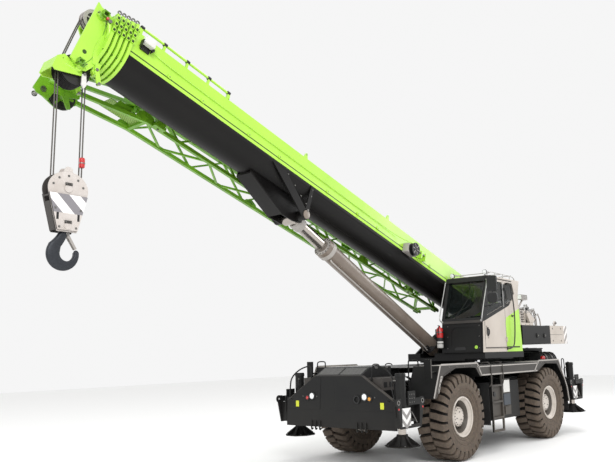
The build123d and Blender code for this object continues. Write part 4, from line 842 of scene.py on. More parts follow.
def makeFrontPlate():
    face = machine["plateX"]
    skin = frontPlate["skin"]
    mesh = bmesh.new()
    space = faceSpace(face)
    for outline in (
        [(-0.10, 1.12), (1.40, 1.12), (1.385, 1.285), (0.63, 1.765), (-0.06, 1.765)],
        [(-1.40, 1.12), (-0.48, 1.12), (-0.44, 1.765), (-0.63, 1.765), (-1.385, 1.285)],
    ):
        addPlate(mesh, outline, space, skin)
    newPiece("front_panels", mesh, charcoal, "carrier", 0.005, 2)
    # flanges behind the sloped shoulders and along the top
    mesh = bmesh.new()
    half, shoulder, topHalf, top = (frontPlate[key] for key in ("half", "shoulder", "topHalf", "top"))
    outline = [(-half, shoulder), (-topHalf, top), (topHalf, top), (half, shoulder)]
    for (y0, z0), (y1, z1) in zip(outline, outline[1:]):
        addBar(mesh, (face - 0.045, y0, z0 - 0.004), (face - 0.045, y1, z1 - 0.004), 0.012, 0.09, (0, z1 - z0, y0 - y1))
    # their grey, lighter than the plate's charcoal, is partly painted highlight along the plate's edges
    newPiece("front_flanges", mesh, fenderGrey, "carrier", 0.003, 2)
    # lamps sit in round recesses, with their bezels
    mesh = bmesh.new()
    for side in (-1, 1):
        for y, z, radius, tint in ((0.68, 1.385, 0.066, 2), (0.805, 1.35, 0.042, 4 if side > 0 else 3)):
            centre = Vector((face, side * y, z))
            addLathe(mesh, [(0.0, radius + 0.022), (0.02, radius + 0.020), (0.034, radius + 0.006),
                            (0.030, radius - 0.003),
                            (0.012, radius - 0.004)], centre, (1, 0, 0), 40)
            addLathe(mesh, [(0.014, radius), (0.030, radius * 0.8), (0.038, radius * 0.45), (0.041, 0.0)], centre,
                     (1, 0, 0),
                     32, material=tint)
        for y in (0.55, 0.93):
            addNut(mesh, (face + 0.006, side * y, 1.38), (1, 0, 0), 0.009, 0.009, 1)
    # the open ring of the camera bracket on the left
    addLathe(mesh, [(0.0, 0.075), (0.03, 0.075), (0.03, 0.058), (0.0, 0.058)], (face + 0.006, 0.5, 1.335), (1, 0, 0),
             40,
             closed=True)
    weld(mesh)
    piece = newPiece("front_lamps", mesh, [blackPlastic, steel, lampGlass, redPlastic, amberPlastic], "carrier",
                     smooth=40)
    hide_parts("carrier_fittings")
    mesh = bmesh.new()
    for side in (-1, 1):
        addBox(mesh, (face + 0.0062, side * 1.095 - 0.042, 1.165), (face + 0.011, side * 1.095 + 0.042, 1.285))
        for y, z in ((-1.2, 1.2), (1.2, 1.2)):
            addNut(mesh, (face + 0.006, side * 1.26, z + 0.12), (1, 0, 0), 0.012, 0.012, 1)
    newPiece("front_reflectors", mesh, [yellowPlate, steel], "carrier", 0.001, 2)
    # three bent hooks each side of the plate's foot
    mesh = bmesh.new()
    for side in (-1, 1):
        for y in (0.48, 0.59, 0.70):
            addPlate(mesh, [(face, 0.905), (face + 0.026, 0.895), (face + 0.035, 0.80), (face + 0.028, 0.735),
                            (face + 0.004, 0.715), (face - 0.03, 0.735), (face - 0.03, 0.76), (face - 0.004, 0.745),
                            (face + 0.009, 0.755), (face + 0.012, 0.80), (face, 0.87)],
                     sideSpace(side * y + 0.012), 0.024)
    newPiece("tow_hooks", mesh, charcoal, "carrier", 0.003, 2)


makeFrontPlate()


def makeFrontHood():
    # raised panels, hinges and a perforated grille over the hood, with the handrails beside it
    face = machine["plateX"]
    mesh = bmesh.new()
    addPlate(mesh, [(-0.575, 0.0), (0.575, 0.0), (0.575, 0.68), (-0.575, 0.68)],
             Matrix(((0, -1, 0, face - 0.31), (1, 0, 0, 0), (0, 0, 1, 1.941), (0, 0, 0, 1))), 0.006)
    slope = Vector((-0.28, 0, 0.15)).normalized()
    up = Vector((0.15, 0, 0.28)).normalized()
    for low, high in ((-0.56, -0.02), (0.02, 0.56)):
        base = Vector((face - 0.02, 0, 1.79)) + up * 0.0005
        space = Matrix(((0, slope.x, up.x, base.x), (1, 0, 0, 0), (0, slope.z, up.z, base.z), (0, 0, 0, 1)))
        addPlate(mesh, [(low, 0.03), (high, 0.03), (high, 0.29), (low, 0.29)], space, 0.006, 1)
    for side in (-1, 1):
        for x in (-0.5, -0.85):
            addBox(mesh, (face + x - 0.04, side * 0.6 - 0.006, 1.905), (face + x + 0.04, side * 0.6 + 0.006, 1.945), 2)
    newPiece("hood_panels", mesh, [treadPlate, grillePlate, steel], "carrier", 0.002, 2)
    # side compartment left of the hood, with its louvres and a post
    mesh = bmesh.new()
    addBox(mesh, (face - 0.86, 0.6, 1.50), (face - 0.12, 1.02, 1.74))
    addBox(mesh, (face - 0.86, -1.02, 1.50), (face - 0.12, -0.6, 1.74))
    for side in (-1, 1):
        for x in (-0.76, -0.58, -0.40, -0.22):
            addBox(mesh, (face + x - 0.05, min(side * 1.02, side * 1.032), 1.56),
                   (face + x + 0.05, max(side * 1.02, side * 1.032), 1.66), 1)
    newPiece("side_lockers", mesh, [fenderGrey, satinBlackAndShade], "carrier", 0.008, 2)
    mesh = bmesh.new()
    for side in (-1, 1):
        addTube(mesh, [(face - 0.10, side * 0.78, 1.53), (face - 0.10, side * 0.78, 1.93),
                       (face - 0.12, side * 0.86, 1.99),
                       (face - 0.10, side * 1.10, 1.93), (face - 0.06, side * 1.30, 1.78),
                       (face - 0.05, side * 1.36, 1.62),
                       (face - 0.05, side * 1.36, 1.36)], 0.015, 12)
        addTube(mesh, [(face - 0.9, side * 1.1, 1.52), (face - 0.9, side * 1.1, 2.02), (face - 0.9, side * 1.12, 2.06),
                       (face - 0.9, side * 1.30, 2.06), (face - 0.9, side * 1.34, 2.02),
                       (face - 0.9, side * 1.34, 1.93)],
                0.013, 12)
    newPiece("front_handrails", mesh, charcoal, "carrier", smooth=50)
    # mirrors: a round-backed one on each front fender
    mesh = bmesh.new()
    for side in (-1, 1):
        armY = side * 1.56
        addTube(mesh, [(frontX + 0.90, armY, 1.80), (frontX + 1.05, armY, 1.80), (frontX + 1.185, armY, 1.82),
                       (frontX + 1.185, armY, 2.00)], 0.013, 10)
        # shell: a rounded block, hollowed at the back for the glass
        low, high = sorted((side * 1.49, side * 1.63))
        made = addBox(mesh, (frontX + 1.182, low, 1.705), (frontX + 1.213, high, 2.055))
        roundEdges(mesh, made, 0.05, 6, alongX=True)
        addBox(mesh, (frontX + 1.1805, low + 0.02, 1.74), (frontX + 1.183, high - 0.02, 2.02), 1)
    newPiece("fender_mirrors", mesh, [blackPlastic, mirrorGlass], "carrier", 0.004, 2)


makeFrontHood()
print("front")

# carrier's sides, deck and tail

fenderLines = {  # outer edge of each skin, X from its axle, and height
    "front": [(1.150, 1.310), (0.870, 1.930), (-0.590, 1.930), (-0.760, 1.670)],
    "rear": [(0.870, 1.670), (0.600, 1.910), (-0.600, 1.910), (-1.040, 1.200), (-1.115, 0.840)],
}
archLines = {  # inner edge of each skin
    "front": [(1.075, 1.310), (0.790, 1.720), (0.320, 1.865), (-0.290, 1.865), (-0.520, 1.850), (-0.690, 1.670)],
    "rear": [(0.700, 1.670), (0.250, 1.850), (-0.480, 1.830), (-0.660, 1.640), (-0.905, 1.400), (-1.000, 1.200),
             (-1.075, 0.840)],
}


# faces sorted by the way they face: tops light grey as painted light from above, chequer plate on the deck between,
# undersides near black as painted shade, the outer sides mid grey and all else near black
def fenderPaint(centre, normal):
    if normal.z < -0.25:
        return 1
    if normal.z > 0.6:
        return 3 if abs(centre.y) < 1.04 and centre.z > 1.88 else 2
    if abs(normal.y) > 0.7 and abs(centre.y) > 1.6:
        return 0
    return 1


def makeFenderEdges():
    # folded lips along both edges of the skins, the outer lips and the long strips light grey as painted highlight on
    # the edges, with the bolted patch plates of the front leg
    half = machine["bodyHalf"]
    mesh = bmesh.new()
    for axle, axleX in (("front", frontX), ("rear", rearX)):
        for lines, width, material in ((fenderLines, 0.034, 0), (archLines, 0.018, 1)):
            for (x0, z0), (x1, z1) in zip(lines[axle], lines[axle][1:]):
                for side in (-1, 1):
                    run = Vector((x1 - x0, 0, z1 - z0)).normalized()
                    shift = Vector((run.z, 0, -run.x)) * (width / 2)
                    addBar(mesh, Vector((axleX + x0, side * (half + 0.004), z0)) + shift,
                           Vector((axleX + x1, side * (half + 0.004), z1)) + shift, 0.010, width, material=material)
    for side in (-1, 1):
        near = side * (half + 0.004)
        addBar(mesh, (rearX + 0.72, near, 1.688), (frontX - 0.76, near, 1.688), 0.010, 0.030, material=0)
        addBar(mesh, (rearX + 0.62, near, 1.868), (frontX - 0.60, near, 1.868), 0.010, 0.026, material=0)
        # holed patch on the front leg
        space = sideSpace(side * (half + 0.005) + 0.004)
        addPlate(mesh, [(frontX + 1.03, 1.40), (frontX + 0.96, 1.56), (frontX + 0.885, 1.73), (frontX + 0.82, 1.73),
                        (frontX + 0.90, 1.56), (frontX + 0.98, 1.40)], space, 0.008, 0)
        for x, z in ((1.005, 1.43), (0.965, 1.51), (0.925, 1.60), (0.875, 1.69)):
            addNut(mesh, (frontX + x, side * (half + 0.009), z), (0, side, 0), 0.010, 0.010, 2)
        for x in (-0.35, -0.05, 0.25, 0.55):
            addNut(mesh, (frontX + x, side * half, 1.895), (0, side, 0), 0.009, 0.009, 2)
        for x in (-0.42, -0.12, 0.18, 0.45):
            addNut(mesh, (rearX + x, side * half, 1.882), (0, side, 0), 0.009, 0.009, 2)
    newPiece("fender_edges", mesh, [lightGreyAndHighlight, fenderGrey, steel], "carrier", 0.0015, 2)


dressNode("fenders_deck", [fenderGrey, satinBlackAndShade, lightGreyAndHighlight, treadPlate], 0.004, paint=fenderPaint)
makeFenderEdges()


def makeEngineCover():
    # black housing with its lid, and the ribbed silencer lying beside it
    tail = machine["tailX"]

    def hoodPaint(centre, normal):
        return 1 if centre.y > 0.61 and centre.z > 1.66 else 0

    dressNode("engine_hood", [satinBlackAndShade, hoseRubber], 0.006, paint=hoodPaint)
    mesh = bmesh.new()
    for x in (0.58, 0.92):
        addLathe(mesh, [(-0.012, 0.236), (-0.012, 0.242), (0.012, 0.242), (0.012, 0.236)],
                 (tail + x, 0.875, 1.895), (1, 0, 0), 40, closed=True, material=1)
    # exhaust bend out of the silencer's rear end, and its hinged hatches
    addTube(mesh, [(tail + 0.25, 0.875, 1.895), (tail + 0.13, 0.875, 1.895), (tail + 0.10, 0.875, 1.93),
                   (tail + 0.10, 0.875, 2.10)], 0.055, 20)
    for x in (0.35, 0.75, 1.15):
        addBox(mesh, (tail + x, -0.56, 2.240), (tail + x + 0.32, 0.56, 2.246))
        for y in (-0.4, 0.4):
            addBox(mesh, (tail + x + 0.28, y - 0.03, 2.245), (tail + x + 0.34, y + 0.03, 2.256), 2)
    for side in (-1, 1):
        for x in (0.30, 0.72, 1.12):
            low, high = sorted((side * 0.60, side * 0.606))
            addBox(mesh, (tail + x, low, 1.68), (tail + x + 0.36, high, 1.97))
            addBox(mesh, (tail + x + 0.16, min(low, side * 0.618), 1.80),
                   (tail + x + 0.20, max(high, side * 0.618), 1.86), 2)
    for index in range(9):
        addBox(mesh, (tail + 0.088, -0.5, 1.72 + index * 0.05), (tail + 0.102, 0.5, 1.745 + index * 0.05))
    newPiece("engine_cover_details", mesh, [satinBlackAndShade, steel, charcoal], "carrier", 0.002, 2)
    # tail rail, steps and the tie-down hooks under the rear plate
    mesh = bmesh.new()
    for side in (-1, 1):
        y = side * 1.40
        addTube(mesh, [(tail + 0.33, y, 1.45), (tail + 0.33, y, 1.80), (tail + 0.30, y, 1.84), (tail + 0.16, y, 1.82),
                       (tail + 0.11, y, 1.76), (tail + 0.10, y, 1.42)], 0.014, 12)
        addTube(mesh, [(tail + 0.58, y - side * 0.05, 1.44), (tail + 0.58, y - side * 0.05, 1.90),
                       (tail + 0.55, y - side * 0.05, 1.93), (tail + 0.44, y - side * 0.05, 1.93),
                       (tail + 0.40, y - side * 0.05, 1.88), (tail + 0.40, y - side * 0.05, 1.44)], 0.013, 12)
        low, high = sorted((side * 1.00, side * 1.55))
        addBox(mesh, (tail + 0.05, low, 1.405), (tail + 0.60, high, 1.425), 1)
        addBox(mesh, (tail, min(side * 0.62, side * 1.42), 1.08), (tail + 0.022, max(side * 0.62, side * 1.42), 1.40),
               2)
        for y in (0.55, 0.72):
            addPlate(mesh, [(tail + 0.03, 1.12), (tail, 1.10), (tail, 0.93), (tail + 0.04, 0.89),
                            (tail + 0.10, 0.91), (tail + 0.10, 0.935), (tail + 0.045, 0.925), (tail + 0.03, 0.95)],
                     sideSpace(side * y + 0.012), 0.024, 2)
        for y, tint in ((0.75, 3), (0.90, 4), (1.05, 3)):
            addLathe(mesh, [(0.0, 0.055), (0.022, 0.05), (0.026, 0.04), (0.028, 0.0)], (tail + 0.001, side * y, 1.25),
                     (-1, 0, 0),
                     24, material=tint)
    weld(mesh)
    # nothing stands out behind the tail's own face
    for vert in mesh.verts:
        vert.co.x = max(vert.co.x, tail + 0.0005)
    newPiece("tail_rails", mesh, [satinBlackAndShade, treadPlate, charcoal, redPlastic, amberPlastic], "carrier",
             smooth=40)


makeEngineCover()


def makeLadders():
    # rungs of light chequered channel, bent handrails, and the boxes behind them
    ladderX = frontX - 1.46

    def ladderPaint(centre, normal):
        if abs(centre.y) > 1.595 and abs(centre.x - ladderX) < 0.235:
            return 1
        if abs(centre.y) < 1.61 and centre.x < ladderX - 0.29:
            return 2
        return 0

    dressNode("ladders_boxes", [satinBlackAndShade, fenderGrey, charcoal], 0.004, paint=ladderPaint)
    mesh = bmesh.new()
    for side in (-1, 1):
        for z in (0.46, 0.74, 1.08, 1.43):
            for step in range(9):
                x = ladderX - 0.2 + step * 0.05
                addRod(mesh, (x, side * 1.625, z + 0.019), (x, side * 1.625, z + 0.027), 0.013, 10, material=1)
        for dx in (-0.275, 0.275):
            x = ladderX + dx
            addTube(mesh, [(x, side * 1.60, 1.42), (x, side * 1.66, 1.46), (x, side * 1.665, 1.62),
                           (x, side * 1.665, 1.80),
                           (x, side * 1.655, 1.89), (x, side * 1.60, 1.945), (x, side * 1.48, 1.945),
                           (x, side * 1.42, 1.92),
                           (x, side * 1.42, 1.87)], 0.015, 12, 1)
        # white plate, dark cover and grey switch box on the side box
        out = side * 1.60
        for low, high, thick, material in (
            ((ladderX - 0.66, 1.26), (ladderX - 0.36, 1.53), 0.012, 2),
            ((ladderX - 0.66, 0.98), (ladderX - 0.34, 1.23), 0.020, 3),
            ((ladderX - 0.62, 0.78), (ladderX - 0.36, 0.95), 0.035, 4),
        ):
            y0, y1 = sorted((out, out + side * thick))
            addBox(mesh, (low[0], y0, low[1]), (high[0], y1, high[1]), material)
        # tank strap with its reflective strip ahead of the ladder
        for x in (ladderX + 0.33, ladderX + 0.52):
            y0, y1 = sorted((side * 1.39, side * 1.405))
            addBox(mesh, (x, y0, 0.70), (x + 0.05, y1, 1.46), 5)
        y0, y1 = sorted((side * 1.40, side * 1.412))
        addBox(mesh, (ladderX + 0.40, y0, 0.90), (ladderX + 0.46, y1, 1.38), 2)
        # filler cap, and hoses under the deck
        addRod(mesh, (ladderX + 0.10, side * 1.60, 1.25), (ladderX + 0.10, side * 1.63, 1.25), 0.05, 24, material=0)
        for row in range(3):
            x = ladderX - 0.66 + row * 0.03
            addTube(mesh, [(x + 0.05, side * 1.2, 1.60), (x - 0.3, side * (1.25 + row * 0.03), 1.52),
                           (x - 0.7, side * (1.2 + row * 0.03), 1.30), (x - 1.0, side * 1.05, 1.15)], 0.016, 10, 0)
    newPiece("ladder_fittings", mesh, [hoseRubber, fenderGrey, whitePlastic, blueBox, fenderGrey, satinBlackAndShade],
             "carrier",
             0.002, 2)
    # mudflaps behind each wheel, and the red marker lamps on the deck
    mesh = bmesh.new()
    for side in (-1, 1):
        y0, y1 = sorted((side * 1.02, side * 1.62))
        addBar(mesh, (rearX - 1.10, (y0 + y1) / 2, 0.96), (rearX - 1.13, (y0 + y1) / 2, 0.60), 0.6, 0.010)
        addBar(mesh, (frontX - 1.10, (y0 + y1) / 2, 1.50), (frontX - 1.12, (y0 + y1) / 2, 0.60), 0.6, 0.010)
        y = side * 1.32
        addRod(mesh, (rearX - 0.40, y, 1.91), (rearX - 0.40, y, 1.945), 0.075, 28, material=2)
        addLathe(mesh, [(0.0, 0.062), (0.05, 0.060), (0.075, 0.045), (0.085, 0.0)], (rearX - 0.40, y, 1.945),
                 (0, 0, 1), 28,
                 material=1)
    newPiece("mudflaps", mesh, [sealRubberAndShade, redPlastic, blackPlastic], "carrier", 0.002, 2)


makeLadders()
print("carrier sides")


# cab

cab = {"front": -1.927, "outY": 1.53, "low": 2.17, "top": 3.92, "chinX": -1.987,
       "chinZ": 2.90, "browX": -2.327}
glazing = [(-2.02, 2.86), (-2.167, 2.90), (-3.30, 3.249), (-3.40, 3.33), (-3.455, 3.45), (-3.47, 3.58), (-3.44, 3.68),
           (-3.36, 3.745), (-2.45, 3.815), (-2.20, 3.84), (-1.90, 3.20)]
quarterPanel = [(-3.097, 2.02), (-3.097, 2.86), (-3.135, 2.965), (-3.80, 3.185), (-3.99, 3.16), (-3.99, 2.02)]


def cabPaint(centre, normal):
    side = abs(normal.y) > 0.8 and (centre.y > 1.47 or centre.y < 0.52)
    if insideOutline(centre.x, centre.z, glazing) and centre.z < 3.9 and normal.z < 0.8:
        return 1
    if centre.x > -2.4 and normal.x > 0.6:
        if centre.z > 2.895:
            return 1
        return 2 if centre.z > 2.83 else 3
    if (side or normal.x < -0.6) and centre.y > 0.5 and insideOutline(centre.x, centre.z, quarterPanel):
        return 4
    return 0


def dressCab(node, materials):
    mesh = cleanCopy(node)
    lines = glazing[:9] if node == "cab_shell" else glazing[1:3]
    for start, end in zip(lines, lines[1:]):
        cutAcross(mesh, start, end)
    cutAcross(mesh, (-2.45, 3.815), (-2.20, 3.84))
    if node == "cab_shell":
        for start, end in zip(quarterPanel[1:4], quarterPanel[2:4]):
            cutAcross(mesh, start, end)
        cutAcross(mesh, (-3.097, 2.0), (-3.097, 2.9))
        cutAcross(mesh, (-2.2, 2.83), (-1.8, 2.83))
        cutAcross(mesh, (-2.2, 2.895), (-1.8, 2.895))
    for face in mesh.faces:
        face.material_index = cabPaint(face.calc_center_median(), face.normal)
    data = meshData(mesh, node)
    piece = finishPiece(node + "_finished", data, materials, bodyOf(node), 0.0, 2, 25)
    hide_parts(node)


dressCab("cab_shell", [warmGrey, sealRubberAndShade, fenderGrey, charcoal, lime])
dressCab("cab_door", [warmGrey, sealRubberAndShade])


def makeCabFront():
    mesh = bmesh.new()
    front = cab["front"]
    # raised skin round the chamfered recess of the lower panel
    lean = Matrix(((0, (cab["chinX"] - front) / 0.73, 1, front), (1, 0, 0, 0), (0, 1, 0, cab["low"]), (0, 0, 0, 1)))
    addPlate(mesh, [(0.50, 0.02), (1.49, 0.02), (1.49, 0.16), (0.50, 0.16)], lean, 0.010)
    addPlate(mesh, [(0.50, 0.16), (0.72, 0.16), (0.72, 0.49), (0.80, 0.57), (1.32, 0.57), (1.40, 0.49), (1.40, 0.16),
                    (1.49, 0.16), (1.49, 0.64), (0.50, 0.64)], lean, 0.012)
    addPlate(mesh, [(0.82, 0.055), (1.08, 0.055), (1.10, 0.09), (1.06, 0.125), (0.86, 0.125), (0.80, 0.09)], lean,
             0.016, 1)
    for y in (0.62, 1.44):
        for z in (0.10, 0.36, 0.60):
            addNut(mesh, lean @ Vector((y, z, 0.010)), (1, 0, 0), 0.008, 0.008, 4)
    spot = lean @ Vector((1.36, 0.115, 0.010))
    addLathe(mesh, [(0.0, 0.04), (0.004, 0.038), (0.004, 0.0)], spot, (1, 0, 0), 28, material=2)
    addPlate(mesh, [(0.47, 0.665), (1.52, 0.665), (1.52, 0.725), (0.47, 0.725)], lean, 0.018, 3)
    newPiece("cab_front_panel", mesh, [charcoal, blackPlastic, lime, fenderGrey, steel], "superstructure",
             0.004, 2)
    # black windshield surround, visor and its two wipers
    mesh = bmesh.new()
    tall = cab["top"] - cab["chinZ"]
    glassSpace = Matrix(((0, (cab["browX"] - cab["chinX"]) / tall, 1, cab["chinX"]), (1, 0, 0, 0),
                         (0, 1, 0, cab["chinZ"]),
                         (0, 0, 0, 1)))
    for outline in ([(0.455, 0.0), (0.53, 0.0), (0.53, 1.0), (0.455, 1.0)],
                    [(1.46, 0.0), (1.535, 0.0), (1.535, 1.0), (1.46, 1.0)],
                    [(0.53, 0.0), (1.46, 0.0), (1.46, 0.05), (0.53, 0.05)]):
        addPlate(mesh, outline, glassSpace, 0.012)
    addPlate(mesh, [(0.455, 0.90), (1.535, 0.90), (1.535, 1.01), (0.455, 1.01)], glassSpace, 0.045)
    for root, tip in (((0.80, 0.03), (1.15, 0.55)), ((1.20, 0.93), (0.95, 0.60))):
        base = glassSpace @ Vector((*root, 0.03))
        end = glassSpace @ Vector((*tip, 0.022))
        addRod(mesh, glassSpace @ Vector((*root, 0.0)), base, 0.014, 12)
        addBar(mesh, base, end, 0.014, 0.006)
        addBar(mesh, end + Vector((0.004, 0.0, -0.22)), end + Vector((0.004, 0.0, 0.22)), 0.008, 0.012)
    newPiece("windshield_surround", mesh, sealRubberAndShade, "superstructure", 0.004, 2)
    # grab bars up both front pillars
    mesh = bmesh.new()
    for y, out in ((0.475, 0.44), (1.50, 1.555)):
        foot = glassSpace @ Vector((y, -0.02, 0.01))
        head = glassSpace @ Vector((y, 0.93, 0.01))
        addTube(mesh, [foot, foot + Vector((0.055, (out - y) * 0.8, 0.02)), foot + Vector((0.06, out - y, 0.10)),
                       (foot + head) / 2 + Vector((0.065, out - y, 0)), head + Vector((0.055, out - y, -0.08)),
                       head + Vector((0.045, (out - y) * 0.8, 0.0)), head], 0.0135, 12)
        for share in (0.0, 1.0):
            place = foot.lerp(head, share)
            addLathe(mesh, [(0.0, 0.026), (0.008, 0.026), (0.012, 0.014), (0.012, 0.0)], place, (1, 0, 0), 16)
    newPiece("cab_grab_bars", mesh, silverTube, "superstructure", smooth=50)
    # curved rail behind the door
    mesh = bmesh.new()
    rail = [(-3.327, 3.76), (-3.37, 3.55), (-3.43, 3.28), (-3.447, 3.01), (-3.42, 2.70), (-3.375, 2.45), (-3.335, 2.34),
            (-3.28, 2.285), (-3.20, 2.26), (-3.12, 2.24)]
    points = [(x, 1.60, z) for x, z in rail]
    above, below = [(-3.327, 1.53, 3.78), (-3.327, 1.585, 3.78)], [(-3.10, 1.585, 2.235), (-3.10, 1.53, 2.235)]
    addTube(mesh, above + points + below, 0.016, 14)
    for x, z in ((-3.327, 3.78), (-3.447, 3.01), (-3.10, 2.235)):
        addLathe(mesh, [(0.0, 0.03), (0.01, 0.03), (0.014, 0.018), (0.014, 0.0)], (x, 1.53, z), (0, 1, 0), 18)
    addRod(mesh, (-3.447, 1.53, 3.01), (-3.447, 1.60, 3.01), 0.012, 12)
    newPiece("cab_rear_rail", mesh, fenderGrey, "superstructure", smooth=50)
    # fire extinguisher held by two straps at the foot of the windshield
    mesh = bmesh.new()
    centre = Vector((-1.815, 0.49, 2.29))
    addLathe(mesh, [(0.0, 0.0), (0.0, 0.062), (0.012, 0.072), (0.15, 0.074), (0.15, 0.0)], centre, (0, 0, 1), 36,
             material=1)
    addLathe(mesh, [(0.15, 0.0), (0.15, 0.074), (0.235, 0.074), (0.235, 0.0)], centre, (0, 0, 1), 36, material=2)
    addLathe(mesh, [(0.235, 0.0), (0.235, 0.075), (0.43, 0.075), (0.455, 0.062), (0.47, 0.036), (0.475, 0.02),
                    (0.50, 0.02),
                    (0.50, 0.0)], centre, (0, 0, 1), 36, material=0)
    addTube(mesh, [centre + Vector((0, 0, 0.49)), centre + Vector((0.05, 0.0, 0.50)),
                   centre + Vector((0.085, 0.02, 0.44)),
                   centre + Vector((0.09, 0.03, 0.30))], 0.009, 10, 2)
    addBar(mesh, centre + Vector((-0.02, 0, 0.505)), centre + Vector((0.07, 0, 0.515)), 0.022, 0.012, material=3)
    for z in (0.10, 0.36):
        addLathe(mesh, [(z - 0.012, 0.0755), (z - 0.012, 0.0785), (z + 0.012, 0.0785), (z + 0.012, 0.0755)], centre,
                 (0, 0, 1), 36,
                 closed=True, material=3)
        addBox(mesh, (-1.965, 0.475, centre.z + z - 0.014), (-1.885, 0.505, centre.z + z + 0.014), 3)
    weld(mesh)
    newPiece("fire_extinguisher", mesh, [redPaint, whitePlastic, hoseRubber, steel], "superstructure",
             smooth=40)


makeCabFront()


def makeCabSide():
    out = cab["outY"]
    mesh = bmesh.new()
    # seams of the door and of the pillar, and the dark stripe along the sill
    for points in ([(-2.060, 2.25), (-2.055, 2.90), (-2.12, 3.20)], [(-3.087, 2.25), (-3.087, 3.86)]):
        for (x0, z0), (x1, z1) in zip(points, points[1:]):
            addBar(mesh, (x0, out + 0.0005, z0), (x1, out + 0.0005, z1), 0.003, 0.007)
    addBar(mesh, (-2.063, out + 0.001, 2.270), (-3.080, out + 0.001, 2.270), 0.003, 0.018)
    newPiece("door_seams", mesh, sealRubberAndShade, "cab_door")
    mesh = bmesh.new()
    addBar(mesh, (-3.095, out + 0.003, 2.275), (-3.76, out + 0.003, 2.275), 0.006, 0.030)
    # rain gutter over the door
    addBar(mesh, (-2.35, out + 0.010, 3.875), (-3.50, out + 0.010, 3.845), 0.020, 0.014)
    newPiece("cab_side_trim", mesh, sealRubberAndShade, "superstructure", 0.0015, 2)
    mesh = bmesh.new()
    for x in (-3.02, -3.055):
        addBar(mesh, (x, out + 0.002, 3.21), (x, out + 0.002, 3.80), 0.006, 0.012)
    newPiece("door_window_strips", mesh, silverTube, "cab_door", 0.001, 2)
    # handle with its recess rim and lock, on the door
    mesh = bmesh.new()
    addPlate(mesh, [(-2.235, 2.52), (-2.16, 2.52), (-2.150, 2.60), (-2.165, 2.72), (-2.225, 2.73), (-2.245, 2.62)],
             sideSpace(out + 0.004), 0.008)
    addTube(mesh, [(-2.205, out, 2.69), (-2.205, out + 0.035, 2.68), (-2.20, out + 0.04, 2.62),
                   (-2.195, out + 0.035, 2.56),
                   (-2.195, out, 2.55)], 0.011, 10)
    addLathe(mesh, [(0.0, 0.012), (0.008, 0.011), (0.009, 0.0)], (-2.20, out + 0.004, 2.49), (0, 1, 0), 16, material=1)
    newPiece("door_handle", mesh, [blackPlastic, steel], "cab_door", 0.002, 2)
    # two mirrors on a bent arm ahead of the door
    mesh = bmesh.new()
    for low, high, rounding, z0, z1 in ((1.595, 1.835, 0.03, 3.525, 3.875), (1.600, 1.840, 0.075, 3.262, 3.492)):
        made = addBox(mesh, (-2.192, low, z0), (-2.140, high, z1))
        roundEdges(mesh, made, rounding, 6, alongX=True)
        addBox(mesh, (-2.1945, low + 0.02, z0 + 0.02), (-2.1915, high - 0.02, z1 - 0.02), 1)
    addTube(mesh, [(-2.21, 1.50, 3.86), (-2.18, 1.58, 3.885), (-2.150, 1.705, 3.89), (-2.164, 1.717, 3.85),
                   (-2.164, 1.717, 3.50),
                   (-2.164, 1.717, 3.23), (-2.150, 1.68, 3.205), (-2.13, 1.56, 3.20), (-2.10, 1.50, 3.19)], 0.011, 10,
            2)
    newPiece("cab_mirrors", mesh, [blackPlastic, mirrorGlass, sealRubberAndShade], "superstructure", 0.006, 2)


makeCabSide()


def makeCabRoof():
    mesh = bmesh.new()
    # roof skin with its raised middle and a hatch
    top = cab["top"]
    fall = Vector((-1, 0, -0.0248)).normalized()
    up = Vector((-0.0248, 0, 1)).normalized()
    space = Matrix(((0, fall.x, up.x, cab["browX"]), (1, 0, 0, 0), (0, fall.z, up.z, top), (0, 0, 0, 1)))
    addPlate(mesh, [(0.52, 0.10), (1.47, 0.10), (1.47, 1.50), (0.52, 1.50)], space, 0.022)
    addPlate(mesh, [(0.72, 0.45), (1.27, 0.45), (1.27, 1.05), (0.72, 1.05)], space, 0.045, 1)
    newPiece("cab_roof_skin", mesh, [warmGrey, tintedGlass], "superstructure", 0.008, 3)
    mesh = bmesh.new()
    for y in (0.52, 1.45):
        addTube(mesh, [(-2.46, y, top), (-2.47, y, top + 0.07), (-2.52, y, top + 0.105), (-2.7, y, top + 0.108),
                       (-3.62, y, top + 0.075), (-3.80, y, top + 0.05), (-3.85, y, top), (-3.86, y, top - 0.03)],
                0.012, 10)
        for x in (-2.85, -3.25, -3.6):
            addRod(mesh, (x, y, top - 0.035), (x, y, top + 0.09), 0.010, 10)
    for x in (-2.60, -3.15, -3.70):
        addRod(mesh, (x, 0.52, top + 0.085), (x, 1.45, top + 0.085), 0.010, 10)
    # rear sun shelf over the window
    for y in (0.6, 0.85, 1.1, 1.35):
        addBar(mesh, (-3.90, y, 3.855), (-3.965, y, 3.845), 0.02, 0.012)
    newPiece("cab_roof_rails", mesh, silverTube, "superstructure", smooth=50)
    # round work lamps on their stalks
    mesh = bmesh.new()
    for x, y, height in ((-2.42, 1.42, 0.115), (-2.42, 0.55, 0.095)):
        base = Vector((x, y, top - 0.003))
        addRod(mesh, base, base + Vector((0, 0, 0.05)), 0.012, 12)
        addBox(mesh, base + Vector((-0.03, -0.03, -0.002)), base + Vector((0.03, 0.03, 0.012)))
        head = base + Vector((0.0, 0, height - 0.015))
        aim = Vector((1, 0.1, -0.2))
        addLathe(mesh, [(-0.045, 0.0), (-0.045, 0.03), (-0.01, 0.052), (0.03, 0.056), (0.036, 0.052)], head, aim, 28)
        addLathe(mesh, [(0.034, 0.052), (0.040, 0.03), (0.042, 0.0)], head, aim, 28, material=1)
        for side in (-1, 1):
            addBar(mesh, base + Vector((0, side * 0.055, height - 0.06)),
                   base + Vector((0, side * 0.055, height - 0.01)), 0.006, 0.02)
        addBar(mesh, base + Vector((0, -0.055, height - 0.06)), base + Vector((0, 0.055, height - 0.06)), 0.02, 0.006,
               (1, 0, 0))
    piece = newPiece("cab_roof_lamps", mesh, [blackPlastic, lampGlass], "superstructure", smooth=40)
    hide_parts("cab_fittings")


makeCabRoof()


